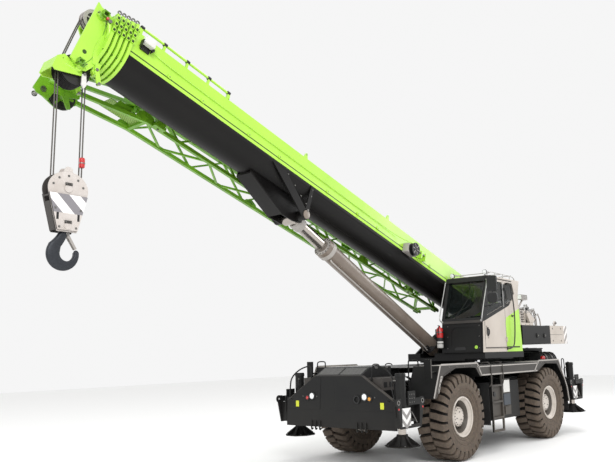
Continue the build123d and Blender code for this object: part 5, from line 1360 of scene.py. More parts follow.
def makeCabInside():
    # chair with its cushions and arms, levers, wheel, screen and pedals, inside the CAD's own blocks
    mesh = bmesh.new()
    chairX, chairY, floor = cab["front"] - 1.28, 0.995, 2.215
    addLathe(mesh, [(0.0, 0.17), (0.03, 0.17), (0.06, 0.10), (0.30, 0.09), (0.33, 0.17)], (chairX, chairY, floor),
             (0, 0, 1), 24,
             material=1)
    for low, high, soft in (
        ((chairX - 0.25, chairY - 0.25, floor + 0.33), (chairX + 0.26, chairY + 0.25, floor + 0.46), 0.05),
        ((chairX - 0.05, chairY - 0.20, floor + 0.44), (chairX + 0.24, chairY + 0.20, floor + 0.475), 0.02),
    ):
        made = addBox(mesh, low, high)
        roundEdges(mesh, made, soft, 4)
    back = addPlate(mesh, [(chairX - 0.14, floor + 0.44), (chairX - 0.25, floor + 0.95), (chairX - 0.27, floor + 1.14),
                           (chairX - 0.36, floor + 1.14), (chairX - 0.35, floor + 0.93), (chairX - 0.25, floor + 0.44)],
                    sideSpace(chairY + 0.22), 0.44)
    roundEdges(mesh, back, 0.03, 3)
    for side in (-1, 1):
        y = chairY + side * 0.32
        made = addBox(mesh, (chairX - 0.10, y - 0.05, floor), (chairX + 0.33, y + 0.05, floor + 0.56), 1)
        roundEdges(mesh, made, 0.02, 3)
        addRod(mesh, (chairX + 0.24, y, floor + 0.55), (chairX + 0.25, y, floor + 0.62), 0.010, 10, 0.008, 1)
        addLathe(mesh, [(0.0, 0.012), (0.02, 0.022), (0.05, 0.024), (0.07, 0.014), (0.075, 0.0)],
                 (chairX + 0.25, y, floor + 0.60), (0.1, 0, 1), 16, material=1)
    newPiece("cab_chair", mesh, [chairCloth, trimGrey], "superstructure", 0.004, 2)
    mesh = bmesh.new()
    front = cab["front"]
    addPlate(mesh, [(front - 0.065, floor), (front - 0.125, floor + 0.56), (front - 0.30, floor + 0.62),
                    (front - 0.40, floor + 0.60),
                    (front - 0.37, floor + 0.44), (front - 0.27, floor + 0.02)], sideSpace(1.37), 0.75)
    addTube(mesh, [(front - 0.38, chairY, floor + 0.45), (front - 0.42, chairY, floor + 0.56),
                   (front - 0.46, chairY, floor + 0.64)],
            0.03, 12)
    hub = Vector((front - 0.47, chairY, floor + 0.66))
    turn = Vector((-0.55, 0, 0.83)).normalized()
    addLathe(mesh, [(-0.012, 0.17), (0.0, 0.182), (0.012, 0.17), (0.0, 0.158)], hub, turn, 36, closed=True)
    for angle in (0.5, 2.6, 4.7):
        spoke = Vector((0, 1, 0)) * math.cos(angle) + turn.cross(Vector((0, 1, 0))) * math.sin(angle)
        addBar(mesh, hub, hub + spoke * 0.165, 0.02, 0.01)
    addBox(mesh, (front - 0.30, 1.10, floor + 0.60), (front - 0.27, 1.34, floor + 0.78), 1)
    addBox(mesh, (front - 0.303, 1.115, floor + 0.615), (front - 0.299, 1.325, floor + 0.765), 2)
    for y in (chairY - 0.1, chairY + 0.1):
        addBar(mesh, (front - 0.42, y, floor + 0.03), (front - 0.34, y, floor + 0.16), 0.07, 0.012)
    piece = newPiece("cab_console", mesh, [trimGrey, blackPlastic, tintedGlass], "superstructure", 0.006, 2)
    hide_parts("cab_interior")


makeCabInside()
print("cab")


# boom, head, jib and lift cylinder

boomSizes = {"collar": 11.70, "pitch": 0.078, "thick": 0.048, "count": 5, "headU": 12.23,
             "headW": -0.47}


def addBoomBox(mesh, low, high, material=0):
    # box along the boom, corners given as (u, y, w)
    made = addBox(mesh, low, high, material)
    bmesh.ops.transform(mesh, matrix=boomSpace, verts=made)
    return made


def makeCollars():
    for index in range(boomSizes["count"]):
        u = boomSizes["collar"] + index * boomSizes["pitch"]
        half = 0.425 - 0.010 * index
        top = 0.665 - 0.014 * index
        mesh = bmesh.new()
        mid = u + boomSizes["thick"] / 2
        # slide-pad holders in rows on the shoulders, each with its screw and the grease nipples above
        for side in (-1, 1):
            for w in (0.33, 0.44, 0.55):
                low, high = sorted((side * (half - 0.002), side * (half + 0.020)))
                addBoomBox(mesh, (u - 0.004, low, w - 0.032), (u + 0.052, high, w + 0.032))
                low, high = sorted((side * (half + 0.018), side * (half + 0.0215)))
                addBoomBox(mesh, (u + 0.004, low, w - 0.022), (u + 0.044, high, w + 0.022), 3)
                addNut(mesh, onBoom(mid, side * (half + 0.020), w), (0, side, 0), 0.012, 0.010, 1)
            for y in (0.12, 0.23, 0.34):
                addBoomBox(mesh, (u - 0.004, side * y - 0.035, top - 0.002), (u + 0.052, side * y + 0.035, top + 0.022))
                addBoomBox(mesh, (u + 0.004, side * y - 0.024, top + 0.020),
                           (u + 0.044, side * y + 0.024, top + 0.0235), 3)
            tip = onBoom(mid, side * 0.365, top - 0.02)
            addRod(mesh, tip, tip + boomUp * 0.055, 0.009, 8)
            addLathe(mesh, [(-0.009, 0.018), (-0.009, 0.036), (0.009, 0.036), (0.009, 0.018)], tip + boomUp * 0.075,
                     (0, 1, 0), 18,
                     closed=True, material=2)
            # screws of the pads in the round belly
            for angle in (25, 50, 75):
                lean = math.radians(angle)
                y, w = side * 0.97 * half * math.cos(lean), 0.125 - 0.97 * half * math.sin(lean)
                addNut(mesh, onBoom(u + boomSizes["thick"], y, w), boomDir, 0.010, 0.008, 1)
        body = bodyOf(boomSections[index])
        newPiece("collar_pads_" + str(index + 1), mesh, [lime, limeDark, steel, sealRubberAndShade], body, 0.003, 2)


makeCollars()


def makeCollarGaps():
    # black bands between the collars: painted shade in the gaps
    for index in range(1, boomSizes["count"]):
        u = boomSizes["collar"] + index * boomSizes["pitch"]
        half = 0.418 - 0.010 * index
        top = 0.658 - 0.014 * index
        outline = [(half, 0.125), (half, top), (-half, top), (-half, 0.125)]
        for step in range(1, 24):
            angle = math.pi + math.pi * step / 24
            outline.append((half * math.cos(angle), 0.125 + half * math.sin(angle)))
        mesh = bmesh.new()
        addPlate(mesh, outline, boomCutSpace(u + 0.002), 0.034)
        body = bodyOf(boomSections[index])
        newPiece("collar_gap_" + str(index), mesh, sealRubberAndShade, body)


makeCollarGaps()


def makeBoomFittings():
    body = bodyOf("boom_base")
    # lime rail in black clamps along the shoulder
    mesh = bmesh.new()
    railY, railW, front = 0.36, 0.70, 11.65
    addTube(mesh, boomPath((front, railY, 0.60), (front, railY, railW - 0.03), (front - 0.04, railY, railW),
                   (front - 0.9, railY, railW), (front - 1.86, railY, railW),
                   (front - 1.90, railY, railW - 0.03),
                   (front - 1.90, railY, 0.60)), 0.022, 14)
    for u in (front - 1.87, front - 1.42, front - 0.95, front - 0.48, front - 0.03):
        addBoomBox(mesh, (u - 0.02, railY - 0.02, 0.578), (u + 0.02, railY + 0.02, railW - 0.01), 0)
        addLathe(mesh, [(-0.03, 0.024), (-0.03, 0.034), (0.03, 0.034), (0.03, 0.024)], onBoom(u, railY, railW),
                 boomDir, 18,
                 closed=True, material=1)
    # small pad eyes along the top, and the cover strips over the joint line
    for u in (7.65, 4.90):
        addPlate(mesh, [(u, 0.58), (u + 0.09, 0.58), (u + 0.065, 0.675), (u + 0.045, 0.69), (u + 0.025, 0.675)],
                 boomSideSpace(railY + 0.02), 0.04)
        addLathe(mesh, [(-0.022, 0.009), (-0.022, 0.016), (0.022, 0.016), (0.022, 0.009)],
                 onBoom(u + 0.045, railY, 0.655),
                 (0, 1, 0), 14, closed=True, material=2)
    for u in (10.9, 10.2, 9.1, 8.3, 6.9, 5.9, 5.2, 3.1, 2.3):
        addBoomBox(mesh, (u, 0.379, 0.20), (u + 0.07, 0.398, 0.255), 0)
        addNut(mesh, onBoom(u + 0.035, 0.398, 0.228), (0, 1, 0), 0.008, 0.008, 2)
    piece = newPiece("boom_rail", mesh, [lime, blackPlastic, steel], body, 0.003, 2, 40)
    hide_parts("boom_fittings")
    # white lamp in a dark yoke
    mesh = bmesh.new()
    lamp = addBoomBox(mesh, (11.39, 0.425, 0.40), (11.57, 0.530, 0.535), 0)
    roundEdges(mesh, lamp, 0.014, 3)
    addBoomBox(mesh, (11.571, 0.44, 0.415), (11.578, 0.515, 0.52), 2)
    addBoomBox(mesh, (11.40, 0.379, 0.33), (11.56, 0.41, 0.43), 1)
    for u in (11.380, 11.580):
        addBoomBox(mesh, (u, 0.40, 0.35), (u + 0.010, 0.49, 0.47), 1)
    addBoomBox(mesh, (11.33, 0.379, 0.42), (11.43, 0.42, 0.46), 1)
    newPiece("boom_lamp", mesh, [whitePlastic, blackPlastic, lampGlass], body, 0.002, 2)
    # angle sensor box and the cable reel with its spoked face, guide rollers and bracket
    mesh = bmesh.new()
    made = addBoomBox(mesh, (3.93, 0.379, 0.10), (4.27, 0.54, 0.31), 0)
    roundEdges(mesh, made, 0.012, 2)
    reel = onBoom(4.10, 0.54, 0.205)
    addLathe(mesh, [(0.0, 0.0), (0.0, 0.148), (0.014, 0.148), (0.014, 0.10), (0.082, 0.10), (0.082, 0.148),
                    (0.098, 0.148),
                    (0.098, 0.120), (0.090, 0.112), (0.090, 0.045), (0.104, 0.035), (0.104, 0.0)], reel, (0, 1, 0), 44,
             material=1)
    for turn in range(5):
        addLathe(mesh, [(0.020 + turn * 0.012, 0.10), (0.026 + turn * 0.012, 0.122), (0.032 + turn * 0.012, 0.10)],
                 reel,
                 (0, 1, 0), 44, material=1)
    for spoke in range(6):
        angle = spoke * math.pi / 3
        out = boomDir * math.cos(angle) + boomUp * math.sin(angle)
        addBar(mesh, reel + Vector((0, 0.096, 0)) + out * 0.04, reel + Vector((0, 0.096, 0)) + out * 0.13, 0.012,
               0.016, material=2)
    addBoomBox(mesh, (3.44, 0.379, 0.17), (3.68, 0.395, 0.40), 3)
    addBoomBox(mesh, (3.46, 0.395, 0.20), (3.50, 0.485, 0.38), 3)
    addBoomBox(mesh, (3.62, 0.395, 0.20), (3.66, 0.485, 0.38), 3)
    addRod(mesh, onBoom(3.44, 0.45, 0.32), onBoom(3.70, 0.45, 0.32), 0.022, 16, material=2)
    for u, w in ((3.47, 0.19), (3.65, 0.19), (3.47, 0.385), (3.65, 0.385)):
        addNut(mesh, onBoom(u, 0.395, w), (0, 1, 0), 0.009, 0.008, 2)
    addTube(mesh, boomPath((4.22, 0.60, 0.30), (4.4, 0.45, 0.34), (4.8, 0.395, 0.35),
                   (7.5, 0.395, 0.36),
                   (10.8, 0.395, 0.37), (11.35, 0.395, 0.40), (11.44, 0.41, 0.45)), 0.008, 8, 3)
    newPiece("cable_reel", mesh, [lightGreyAndHighlight, blackPlastic, steel, lime], body, 0.002, 2, 40)
    # foot of the boom: pin caps and their bolts
    mesh = bmesh.new()
    for side in (-1, 1):
        addLathe(mesh, [(0.0, 0.0), (0.0, 0.10), (0.012, 0.10), (0.016, 0.06), (0.02, 0.0)], onBoom(0, side * 0.57, 0),
                 (0, side, 0), 32)
        for angle in range(6):
            lean = angle * math.pi / 3 + 0.3
            spot = onBoom(0.08 * math.cos(lean), side * 0.582, 0.08 * math.sin(lean))
            addNut(mesh, spot, (0, side, 0), 0.009, 0.009, 1)
    weld(mesh)
    newPiece("boom_foot_caps", mesh, [charcoal, steel], "superstructure", smooth=40)


makeBoomFittings()


def makeHeadDetails():
    body = bodyOf("boom_head")
    u, w = boomSizes["headU"], boomSizes["headW"]
    mesh = bmesh.new()
    # lug boxes on the side plates: square tubes welded on, open at the ends, each with a dark lime plate at its foot as
    # painted shade inside
    for side in (-1, 1):
        face = side * 0.255
        for cu, cw, size in ((12.197, 0.53, 0.052), (12.275, -0.411, 0.045)):
            for du, dw, lu, lw in ((0, size - 0.009, size, 0.009), (0, 0.009 - size, size, 0.009),
                                   (size - 0.009, 0, 0.009, size),
                                   (0.009 - size, 0, 0.009, size)):
                y0, y1 = sorted((face, face + side * 0.085))
                addBoomBox(mesh, (cu + du - lu, y0, cw + dw - lw), (cu + du + lu, y1, cw + dw + lw), 1)
            y0, y1 = sorted((face, face + side * 0.012))
            addBoomBox(mesh, (cu - size, y0, cw - size), (cu + size, y1, cw + size), 3)
        # doubler plate bent round the section's end, with its weld seam
        outline = []
        for step in range(9):
            lean = math.radians(-60 + step * 15)
            outline.append((12.045 + 0.10 * math.cos(lean), 0.25 - 0.55 * step / 8))
        outline += [(12.020, -0.30), (12.020, 0.25)]
        y = face + side * 0.012 if side > 0 else face
        addPlate(mesh, outline, boomSideSpace(y), 0.012)
        addLathe(mesh, [(0.0, 0.034), (0.006, 0.032), (0.006, 0.0)], onBoom(12.259, face, -0.201), (0, side, 0), 20,
                 material=3)
        # seam of the bent plate along the rear edge
        addTube(mesh, boomPath((12.155, face, 0.56), (12.11, face, 0.40), (12.10, face, 0.20),
                       (12.10, face, 0.0),
                       (12.11, face, -0.16), (12.14, face, -0.28), (12.19, face, -0.36)), 0.007, 8, 1)
        # axle keepers and their bolts
        for cu, cw, radius in ((u, w + 0.055, 0.055), (u + 0.005, 0.48, 0.05)):
            addBoomBox(mesh, (cu - 0.07, min(face, face + side * 0.045), cw - 0.028),
                       (cu + 0.07, max(face, face + side * 0.045), cw - 0.010))
            for du in (-0.055, 0.055):
                addNut(mesh, onBoom(cu + du, face, cw + 0.03), (0, side, 0), 0.010, 0.050, 2)
            addLathe(mesh, [(0.0, radius), (0.042, radius), (0.050, radius - 0.012), (0.050, 0.0)],
                     onBoom(cu, face, cw), (0, side, 0),
                     32, material=1)
        # hanging link of the jib's root
        addPlate(mesh, [(11.985, -0.27), (12.05, -0.27), (12.035, -0.36), (11.955, -0.53), (11.905, -0.575),
                        (11.87, -0.55),
                        (11.885, -0.50), (11.965, -0.36)], boomSideSpace(face + side * 0.02 + 0.012), 0.024, 0)
        for cu, cw in ((12.005, -0.36), (11.905, -0.545)):
            addRod(mesh, onBoom(cu, face - side * 0.015, cw), onBoom(cu, face + side * 0.045, cw), 0.024, 18,
                   material=2)
    # stiffeners under the head, between the side plates
    for cu in (12.05, 12.12):
        addBoomBox(mesh, (cu, -0.226, 0.52), (cu + 0.012, 0.226, 0.60))
    addBoomBox(mesh, (12.03, -0.226, 0.588), (12.20, 0.226, 0.600))
    newPiece("head_fittings", mesh, [lime, jibLime, steel, limeDark], body, 0.003, 2, 40)
    mesh = bmesh.new()
    # cable arm with its guide roller and lamp, and the rope keepers over the sheaves
    addTube(mesh, boomPath((12.05, 0.262, 0.20), (12.05, 0.33, 0.22), (12.07, 0.345, 0.30),
                   (12.10, 0.345, 0.38)),
            0.034, 16, 0)
    addRod(mesh, onBoom(12.02, 0.345, 0.19), onBoom(12.14, 0.345, 0.43), 0.020, 14, material=0)
    addRod(mesh, onBoom(12.125, 0.30, 0.42), onBoom(12.125, 0.39, 0.42), 0.030, 18, material=2)
    addRod(mesh, onBoom(12.15, 0.345, 0.44), onBoom(12.165, 0.345, 0.475), 0.024, 16, material=3)
    for y in (-0.114, -0.038, 0.038, 0.114):
        addRod(mesh, onBoom(u + 0.245, y - 0.028, w + 0.02), onBoom(u + 0.245, y + 0.028, w + 0.02), 0.014, 10,
               material=2)
    addRod(mesh, onBoom(u + 0.245, -0.19, w + 0.02), onBoom(u + 0.245, 0.19, w + 0.02), 0.011, 10, material=2)
    addRod(mesh, onBoom(u - 0.10, -0.225, 0.655), onBoom(u - 0.10, 0.225, 0.655), 0.014, 10, material=2)
    newPiece("head_arm", mesh, [lime, blackPlastic, steel, redPlastic], body, 0.002, 2, 40)
    # light spoked faces of the upper sheaves
    mesh = bmesh.new()
    for y in (-0.038, 0.038):
        centre = onBoom(u + 0.005, y, 0.48)
        for side in (-1, 1):
            addLathe(mesh, [(0.0245, 0.164), (0.0285, 0.164), (0.0285, 0.118), (0.0245, 0.118)], centre, (0, side, 0),
                     40, closed=True)
            addLathe(mesh, [(0.0245, 0.060), (0.0285, 0.060), (0.0285, 0.046), (0.0245, 0.046)], centre, (0, side, 0),
                     24, closed=True)
            for spoke in range(6):
                angle = spoke * math.tau / 6
                out = boomDir * math.cos(angle) + boomUp * math.sin(angle)
                start = centre + Vector((0, side * 0.0262, 0))
                addBar(mesh, start + out * 0.055, start + out * 0.122, 0.0035, 0.022)
    for y in (-0.062, -0.014, 0.014, 0.062):
        addLathe(mesh, [(-0.006, 0.150), (-0.006, 0.172), (0.006, 0.172), (0.006, 0.150)], onBoom(u + 0.005, y, 0.48),
                 (0, 1, 0), 44,
                 closed=True)
    newPiece("upper_sheave_faces", mesh, lightGreyAndHighlight, body, smooth=40)
    # rope ends that come down from the upper sheaves to the lower ones, and the wedge socket
    mesh = bmesh.new()
    for y in (-0.038, 0.038):
        addTube(mesh, boomPath((u - 0.155, y, 0.46), (u - 0.12, y, 0.56), (u - 0.03, y, 0.62),
                       (u + 0.06, y, 0.615),
                       (u + 0.135, y, 0.57), (u + 0.158, y, 0.48), (u + 0.185, y, 0.0),
                       (u + 0.205, y, w)),
                0.010, 10)
    for y in (-0.114, 0.114):
        addTube(mesh, boomPath((u + 0.20, y, w + 0.02), (u + 0.15, y, w + 0.145), (u, y, w + 0.207),
                       (u - 0.13, y, w + 0.16), (u - 0.20, y, w + 0.03)), 0.010, 10)
    newPiece("head_ropes", mesh, wireSteel, body, smooth=60)
    mesh = bmesh.new()
    socket = onBoom(u - 0.11, 0.0, -0.50)
    upright = Matrix(((1, 0, 0, 0), (0, 0, -1, 0), (0, 1, 0, 0), (0, 0, 0, 1)))
    addPlate(mesh, [(-0.03, 0.0), (0.03, 0.0), (0.04, -0.16), (0.0, -0.22), (-0.04, -0.16)],
             Matrix.Translation(socket + Vector((0, 0.215, 0))) @ upright, 0.03)
    addRod(mesh, socket + Vector((0, 0.16, 0)), socket + Vector((0, 0.235, 0)), 0.02, 16, material=1)
    newPiece("head_socket", mesh, [whitePlastic, steel], body, 0.004, 2)


makeHeadDetails()


def makeJibDetails():
    body = bodyOf("jib")
    mesh = bmesh.new()
    sheave = (11.93, -0.77, -0.47)
    centre = onBoom(*sheave)
    # lime hub with three broad spokes inside the black rim
    for side in (-1, 1):
        addLathe(mesh, [(0.023, 0.085), (0.030, 0.085), (0.036, 0.062), (0.060, 0.050), (0.060, 0.0)], centre,
                 (0, side, 0), 32)
        for spoke in range(3):
            angle = spoke * math.tau / 3 + 0.9
            out = boomDir * math.cos(angle) + boomUp * math.sin(angle)
            addBar(mesh, centre + Vector((0, side * 0.026, 0)) + out * 0.08,
                   centre + Vector((0, side * 0.026, 0)) + out * 0.182,
                   0.010, 0.040)
    weld(mesh)
    sheaveBody = bodyOf("jib_sheave")
    newPiece("jib_sheave_hub", mesh, jibLime, sheaveBody, 0.002, 2)
    mesh = bmesh.new()
    low, high, near, far = -0.16, 0.33, -0.51, -1.06
    # gusset plates with round holes at the root of the nose and at every third joint
    for y in (near + 0.034, far - 0.034):
        for u0 in (10.42, 7.35, 4.3):
            for w, up in ((low, 1), (high, -1)):
                addPlate(mesh, [(u0, w - up * 0.03), (u0 + 0.42, w - up * 0.03), (u0 + 0.36, w + up * 0.10),
                                (u0 + 0.22, w + up * 0.16),
                                (u0 + 0.08, w + up * 0.10)], boomSideSpace(y + 0.005), 0.010)
                addLathe(mesh, [(-0.007, 0.022), (-0.007, 0.034), (0.007, 0.034), (0.007, 0.022)],
                         onBoom(u0 + 0.21, y, w + up * 0.06),
                         (0, 1, 0), 18, closed=True)
    # tail: hinge lugs, pins and the tie rods that hold the jib to the boom
    for y in (near, far):
        for w in (low, high):
            for shift in (0.05, -0.034):
                addPlate(mesh, [(1.30, w - 0.045), (1.50, w - 0.055), (1.50, w + 0.055), (1.30, w + 0.045), (1.26, w)],
                         boomSideSpace(y + shift), 0.016)
            addRod(mesh, onBoom(1.325, y - 0.065, w), onBoom(1.325, y + 0.065, w), 0.024, 18, material=1)
    for u0 in (2.62, 6.85, 10.30):
        for w in (low, high - 0.06):
            addBoomBox(mesh, (u0 - 0.03, near - 0.01, w - 0.035), (u0 + 0.19, -0.379, w + 0.02))
            addRod(mesh, onBoom(u0 + 0.08, near + 0.05, w - 0.06), onBoom(u0 + 0.08, near + 0.05, w + 0.05), 0.018, 14,
                   material=1)
    # stowed walkway sheets, one near the nose and one at the tail
    addBoomBox(mesh, (10.62, near - 0.44, low + 0.03), (11.28, near - 0.06, low + 0.045), 2)
    addBoomBox(mesh, (1.62, near - 0.50, high - 0.025), (2.45, near - 0.05, high - 0.010), 2)
    # nose: rope roller, tie bolts and the hook lug
    for u0, w0, radius in ((12.16, -0.30, 0.03), (12.28, -0.60, 0.028), (11.98, -0.20, 0.026)):
        addRod(mesh, onBoom(u0, -0.895, w0), onBoom(u0, -0.622, w0), radius, 18, material=1)
        for y in (-0.905, -0.618):
            addLathe(mesh, [(-0.006, radius), (-0.006, radius + 0.018), (0.006, radius + 0.018), (0.006, radius)],
                     onBoom(u0, y, w0),
                     (0, 1, 0), 18, closed=True, material=1)
    newPiece("jib_fittings", mesh, [jibLime, steel, jibMesh], body, 0.002, 2)


makeJibDetails()


liftPin = {"u": 7.38, "w": -0.5}


def makeLiftDetails():
    foot = Vector((machine["slewX"] + 0.6, 0, 2.25))
    pin = onBoom(liftPin["u"], 0, liftPin["w"])
    run = (pin - foot).normalized()
    side = Vector((0, 1, 0))
    up = run.cross(side) * -1
    barrel = bodyOf("lift_barrel")
    mesh = bmesh.new()
    # gland with its bolts, tube along the top in clips, ports and the foot's collar
    end = foot + run * 4.53
    addLathe(mesh, [(-0.20, 0.186), (-0.19, 0.212), (-0.10, 0.212), (-0.095, 0.206), (-0.03, 0.206), (0.0, 0.200),
                    (0.004, 0.150),
                    (0.004, 0.1215)], end, run, 56, material=1)
    for bolt in range(16):
        angle = bolt * math.tau / 16
        spot = end + (side * math.cos(angle) + up * math.sin(angle)) * 0.178
        addNut(mesh, spot + run * 0.003, run, 0.012, 0.012, 2)
    addLathe(mesh, [(0.28, 0.186), (0.28, 0.196), (0.31, 0.196), (0.31, 0.186)], foot, run, 48, closed=True)
    pipe = (up * 0.9 + side * 0.43).normalized()
    addTube(mesh, [end - run * 0.25 + pipe * 0.186, end - run * 0.27 + pipe * 0.225, end - run * 0.36 + pipe * 0.232,
                   foot + run * 2.2 + pipe * 0.222, foot + run * 0.66 + pipe * 0.222, foot + run * 0.52 + pipe * 0.235,
                   foot + run * 0.46 + pipe * 0.26], 0.017, 12, 1)
    for distance in (0.9, 1.7, 2.5, 3.3, 4.0):
        spot = foot + run * distance + pipe * 0.19
        addBar(mesh, spot - run * 0.03, spot + run * 0.03, 0.08, 0.03, pipe.cross(run), 0)
        addNut(mesh, spot + pipe.cross(run) * 0.03 + pipe * 0.012, pipe, 0.009, 0.012, 2)
    block = foot + run * 0.42 + pipe * 0.21
    made = addBar(mesh, block - run * 0.09, block + run * 0.09, 0.12, 0.10, pipe.cross(run), 3)
    roundEdges(mesh, made, 0.006, 2)
    for y in (-0.14, 0.14):
        addLathe(mesh, [(-0.012, 0.075), (-0.012, 0.112), (0.012, 0.112), (0.012, 0.075)], foot + Vector((0, y, 0)),
                 (0, 1, 0), 32,
                 closed=True, material=2)
    newPiece("lift_gland", mesh, [barrelPaint, lightGreyAndHighlight, steel, satinBlackAndShade], barrel, 0.002, 2, 40)
    # hoses from the valve block down to the turntable
    mesh = bmesh.new()
    for row in range(4):
        y = 0.05 + row * 0.045
        start = block + run * (0.03 - row * 0.02) + pipe * 0.05
        addTube(mesh, [start, start + pipe * 0.10, Vector((machine["slewX"] + 0.62 - row * 0.05, y + 0.06,
                                                           2.72 - row * 0.03)),
                       Vector((machine["slewX"] + 0.30 - row * 0.05, y + 0.08, 2.50)),
                       Vector((machine["slewX"] + 0.25 - row * 0.04, y + 0.08, 2.19))], 0.017, 10)
    newPiece("lift_hoses", mesh, hoseRubber, "superstructure", smooth=60)
    # rod eye: split collar and its side rings, on the rod
    rod = bodyOf("lift_rod")
    mesh = bmesh.new()
    addLathe(mesh, [(-0.30, 0.121), (-0.30, 0.142), (-0.14, 0.150), (-0.10, 0.13), (-0.10, 0.121)], pin, run, 40,
             closed=True)
    for y in (-0.155, 0.155):
        addLathe(mesh, [(-0.006, 0.08), (-0.006, 0.128), (0.0035, 0.128), (0.0035, 0.08)], pin + Vector((0, y, 0)),
                 (0, 1 if y > 0 else -1, 0),
                 32, closed=True)
    newPiece("rod_eye", mesh, [lightGreyAndHighlight, steel], rod, 0.002, 2)
    # pin head, keeper plate and bolts on the lift bracket
    base = bodyOf("boom_base")
    mesh = bmesh.new()
    for hand in (-1, 1):
        place = onBoom(liftPin["u"], hand * 0.40, liftPin["w"])
        addLathe(mesh, [(0.0, 0.094), (0.0, 0.085), (0.014, 0.085), (0.020, 0.07), (0.020, 0.0)], place, (0, hand, 0),
                 36)
        addBoomBox(mesh, (7.36, min(hand * 0.40, hand * 0.424), -0.445), (7.40, max(hand * 0.40, hand * 0.424), -0.39),
                   1)
        for cu, cw in ((7.45, -0.30), (7.62, -0.22), (7.83, -0.10), (8.05, 0.02), (7.36, -0.10), (7.36, 0.04)):
            addNut(mesh, onBoom(cu, hand * 0.40, cw), (0, hand, 0), 0.010, 0.010, 1)
    newPiece("lift_pin_caps", mesh, [barrelPaint, steel], base, 0.002, 2)


makeLiftDetails()


hoist = {"blockZ": 4.61, "solidBlockZ": 4.65, "hookZ": 3.69, "domeHeight": 0.845}


def makeHookBlock():
    # cheeks with banded cover plates, the toothed ear, bolts round the rim and the pin lock plates
    axis = onBoom(boomSizes["headU"], 0, boomSizes["headW"])
    centre = Vector((axis.x, 0, hoist["blockZ"]))
    body = bodyOf("hook_block")
    mesh = cleanCopy("hook_block")
    # a little lower than the solid, and with a flatter dome over the sheaves
    bmesh.ops.translate(mesh, vec=(0, 0, centre.z - hoist["solidBlockZ"]), verts=mesh.verts)
    for vert in mesh.verts:
        height = vert.co.z - centre.z + 0.06
        if height > 0 and abs(vert.co.y) > 0.06:
            vert.co.z = centre.z - 0.06 + height * hoist["domeHeight"]
    for height in (-0.075, -0.36):
        cutPlane(mesh, centre + Vector((0, 0, height)), (0, 0, 1))
    for face in mesh.faces:
        place = face.calc_center_median() - centre
        if abs(face.normal.y) > 0.9 and abs(place.y) > 0.075:
            face.material_index = 1 if -0.36 < place.z < -0.075 and abs(place.y) > 0.09 else 0
        elif abs(place.y) < 0.06 and math.hypot(place.x, place.z) < 0.24:
            face.material_index = 2
        else:
            face.material_index = 3
    data = meshData(mesh, "hook_block_finished")
    piece = finishPiece("hook_block_finished", data, [blockGrey, blockBands, sheaveNylon, fenderGrey], body,
                        0.005, 2)
    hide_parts("hook_block")
    mesh = bmesh.new()
    for hand in (-1, 1):
        face = hand * 0.107

        # bolts round the dome, along the sides and at the foot
        for angle in (25, 55, 90, 125, 155):
            lean = math.radians(angle)
            addNut(mesh, centre + Vector((0.245 * math.cos(lean), hand * 0.084, -0.06 + 0.245 * math.sin(lean))),
                   (0, hand, 0), 0.013,
                   0.012, 1)
        for x, z in ((-0.19, -0.30), (0.19, -0.30), (-0.125, -0.56), (0.125, -0.56)):
            addNut(mesh, centre + Vector((x, face, z)), (0, hand, 0), 0.013, 0.012, 1)
        # pin ends, each held by a half-moon plate
        for z, radius in ((0.0, 0.062), (-0.54, 0.055)):
            depth = 0.085 if z == 0.0 else 0.107
            place = centre + Vector((0, hand * depth, z))
            addLathe(mesh, [(0.0, radius), (0.012, radius - 0.004), (0.012, 0.0)], place, (0, hand, 0), 32, material=0)
            addBox(mesh, (place.x - 0.05, min(place.y, place.y + hand * 0.018), place.z + radius - 0.02),
                   (place.x + 0.05, max(place.y, place.y + hand * 0.018), place.z + radius + 0.02), 3)
            for x in (-0.035, 0.035):
                addNut(mesh, place + Vector((x, hand * 0.018, radius)), (0, hand, 0), 0.008, 0.008, 1)
        # slots beside the foot, drawn as thin black sheets: painted shade in the openings
        for x in (-0.155, 0.155):
            y0, y1 = sorted((face, face + hand * 0.0012))
            addBox(mesh, (centre.x + x - 0.018, y0, centre.z - 0.46), (centre.x + x + 0.018, y1, centre.z - 0.36), 2)
    # toothed ear that stops the block at the head
    teeth = [(-0.075, 0.20)]
    for tooth in range(7):
        angle = math.radians(165 - tooth * 25)
        teeth.append((0.058 * math.cos(angle), 0.262 + 0.052 * math.sin(angle)))
        teeth.append((0.070 * math.cos(angle - 0.2), 0.262 + 0.064 * math.sin(angle - 0.2)))
    teeth += [(0.075, 0.20)]
    for y in (-0.070, 0.070):
        addPlate(mesh, teeth, Matrix.Translation(centre) @ sideSpace(y + 0.008), 0.016, 0)
    # side closures between the cheeks, and the swivel nut
    for x in (-1, 1):
        addBar(mesh, centre + Vector((x * 0.255, 0, -0.20)), centre + Vector((x * 0.155, 0, -0.60)), 0.122, 0.010,
               material=3)
    addLathe(mesh, [(-0.615, 0.058), (-0.615, 0.075), (-0.605, 0.082), (-0.592, 0.082), (-0.592, 0.058)], centre,
             (0, 0, 1), 36,
             closed=True, material=1)
    newPiece("block_fittings", mesh, [blockGrey, steel, sealRubberAndShade, fenderGrey], body, 0.0015, 2, 40)
    # red weight of the hoist-limit switch, clipped round a rear fall
    mesh = bmesh.new()
    fall = Vector((axis.x - 0.2105, 0.038, 0))
    addLathe(mesh, [(4.96, 0.0105), (4.96, 0.030), (4.972, 0.042), (5.098, 0.042), (5.11, 0.030), (5.11, 0.0105)],
             fall, (0, 0, 1), 28)
    addLathe(mesh, [(5.02, 0.043), (5.02, 0.046), (5.035, 0.046), (5.035, 0.043)], fall, (0, 0, 1), 28, closed=True,
             material=1)
    newPiece("limit_weight", mesh, [redPaint, steel], body, smooth=40)


makeHookBlock()


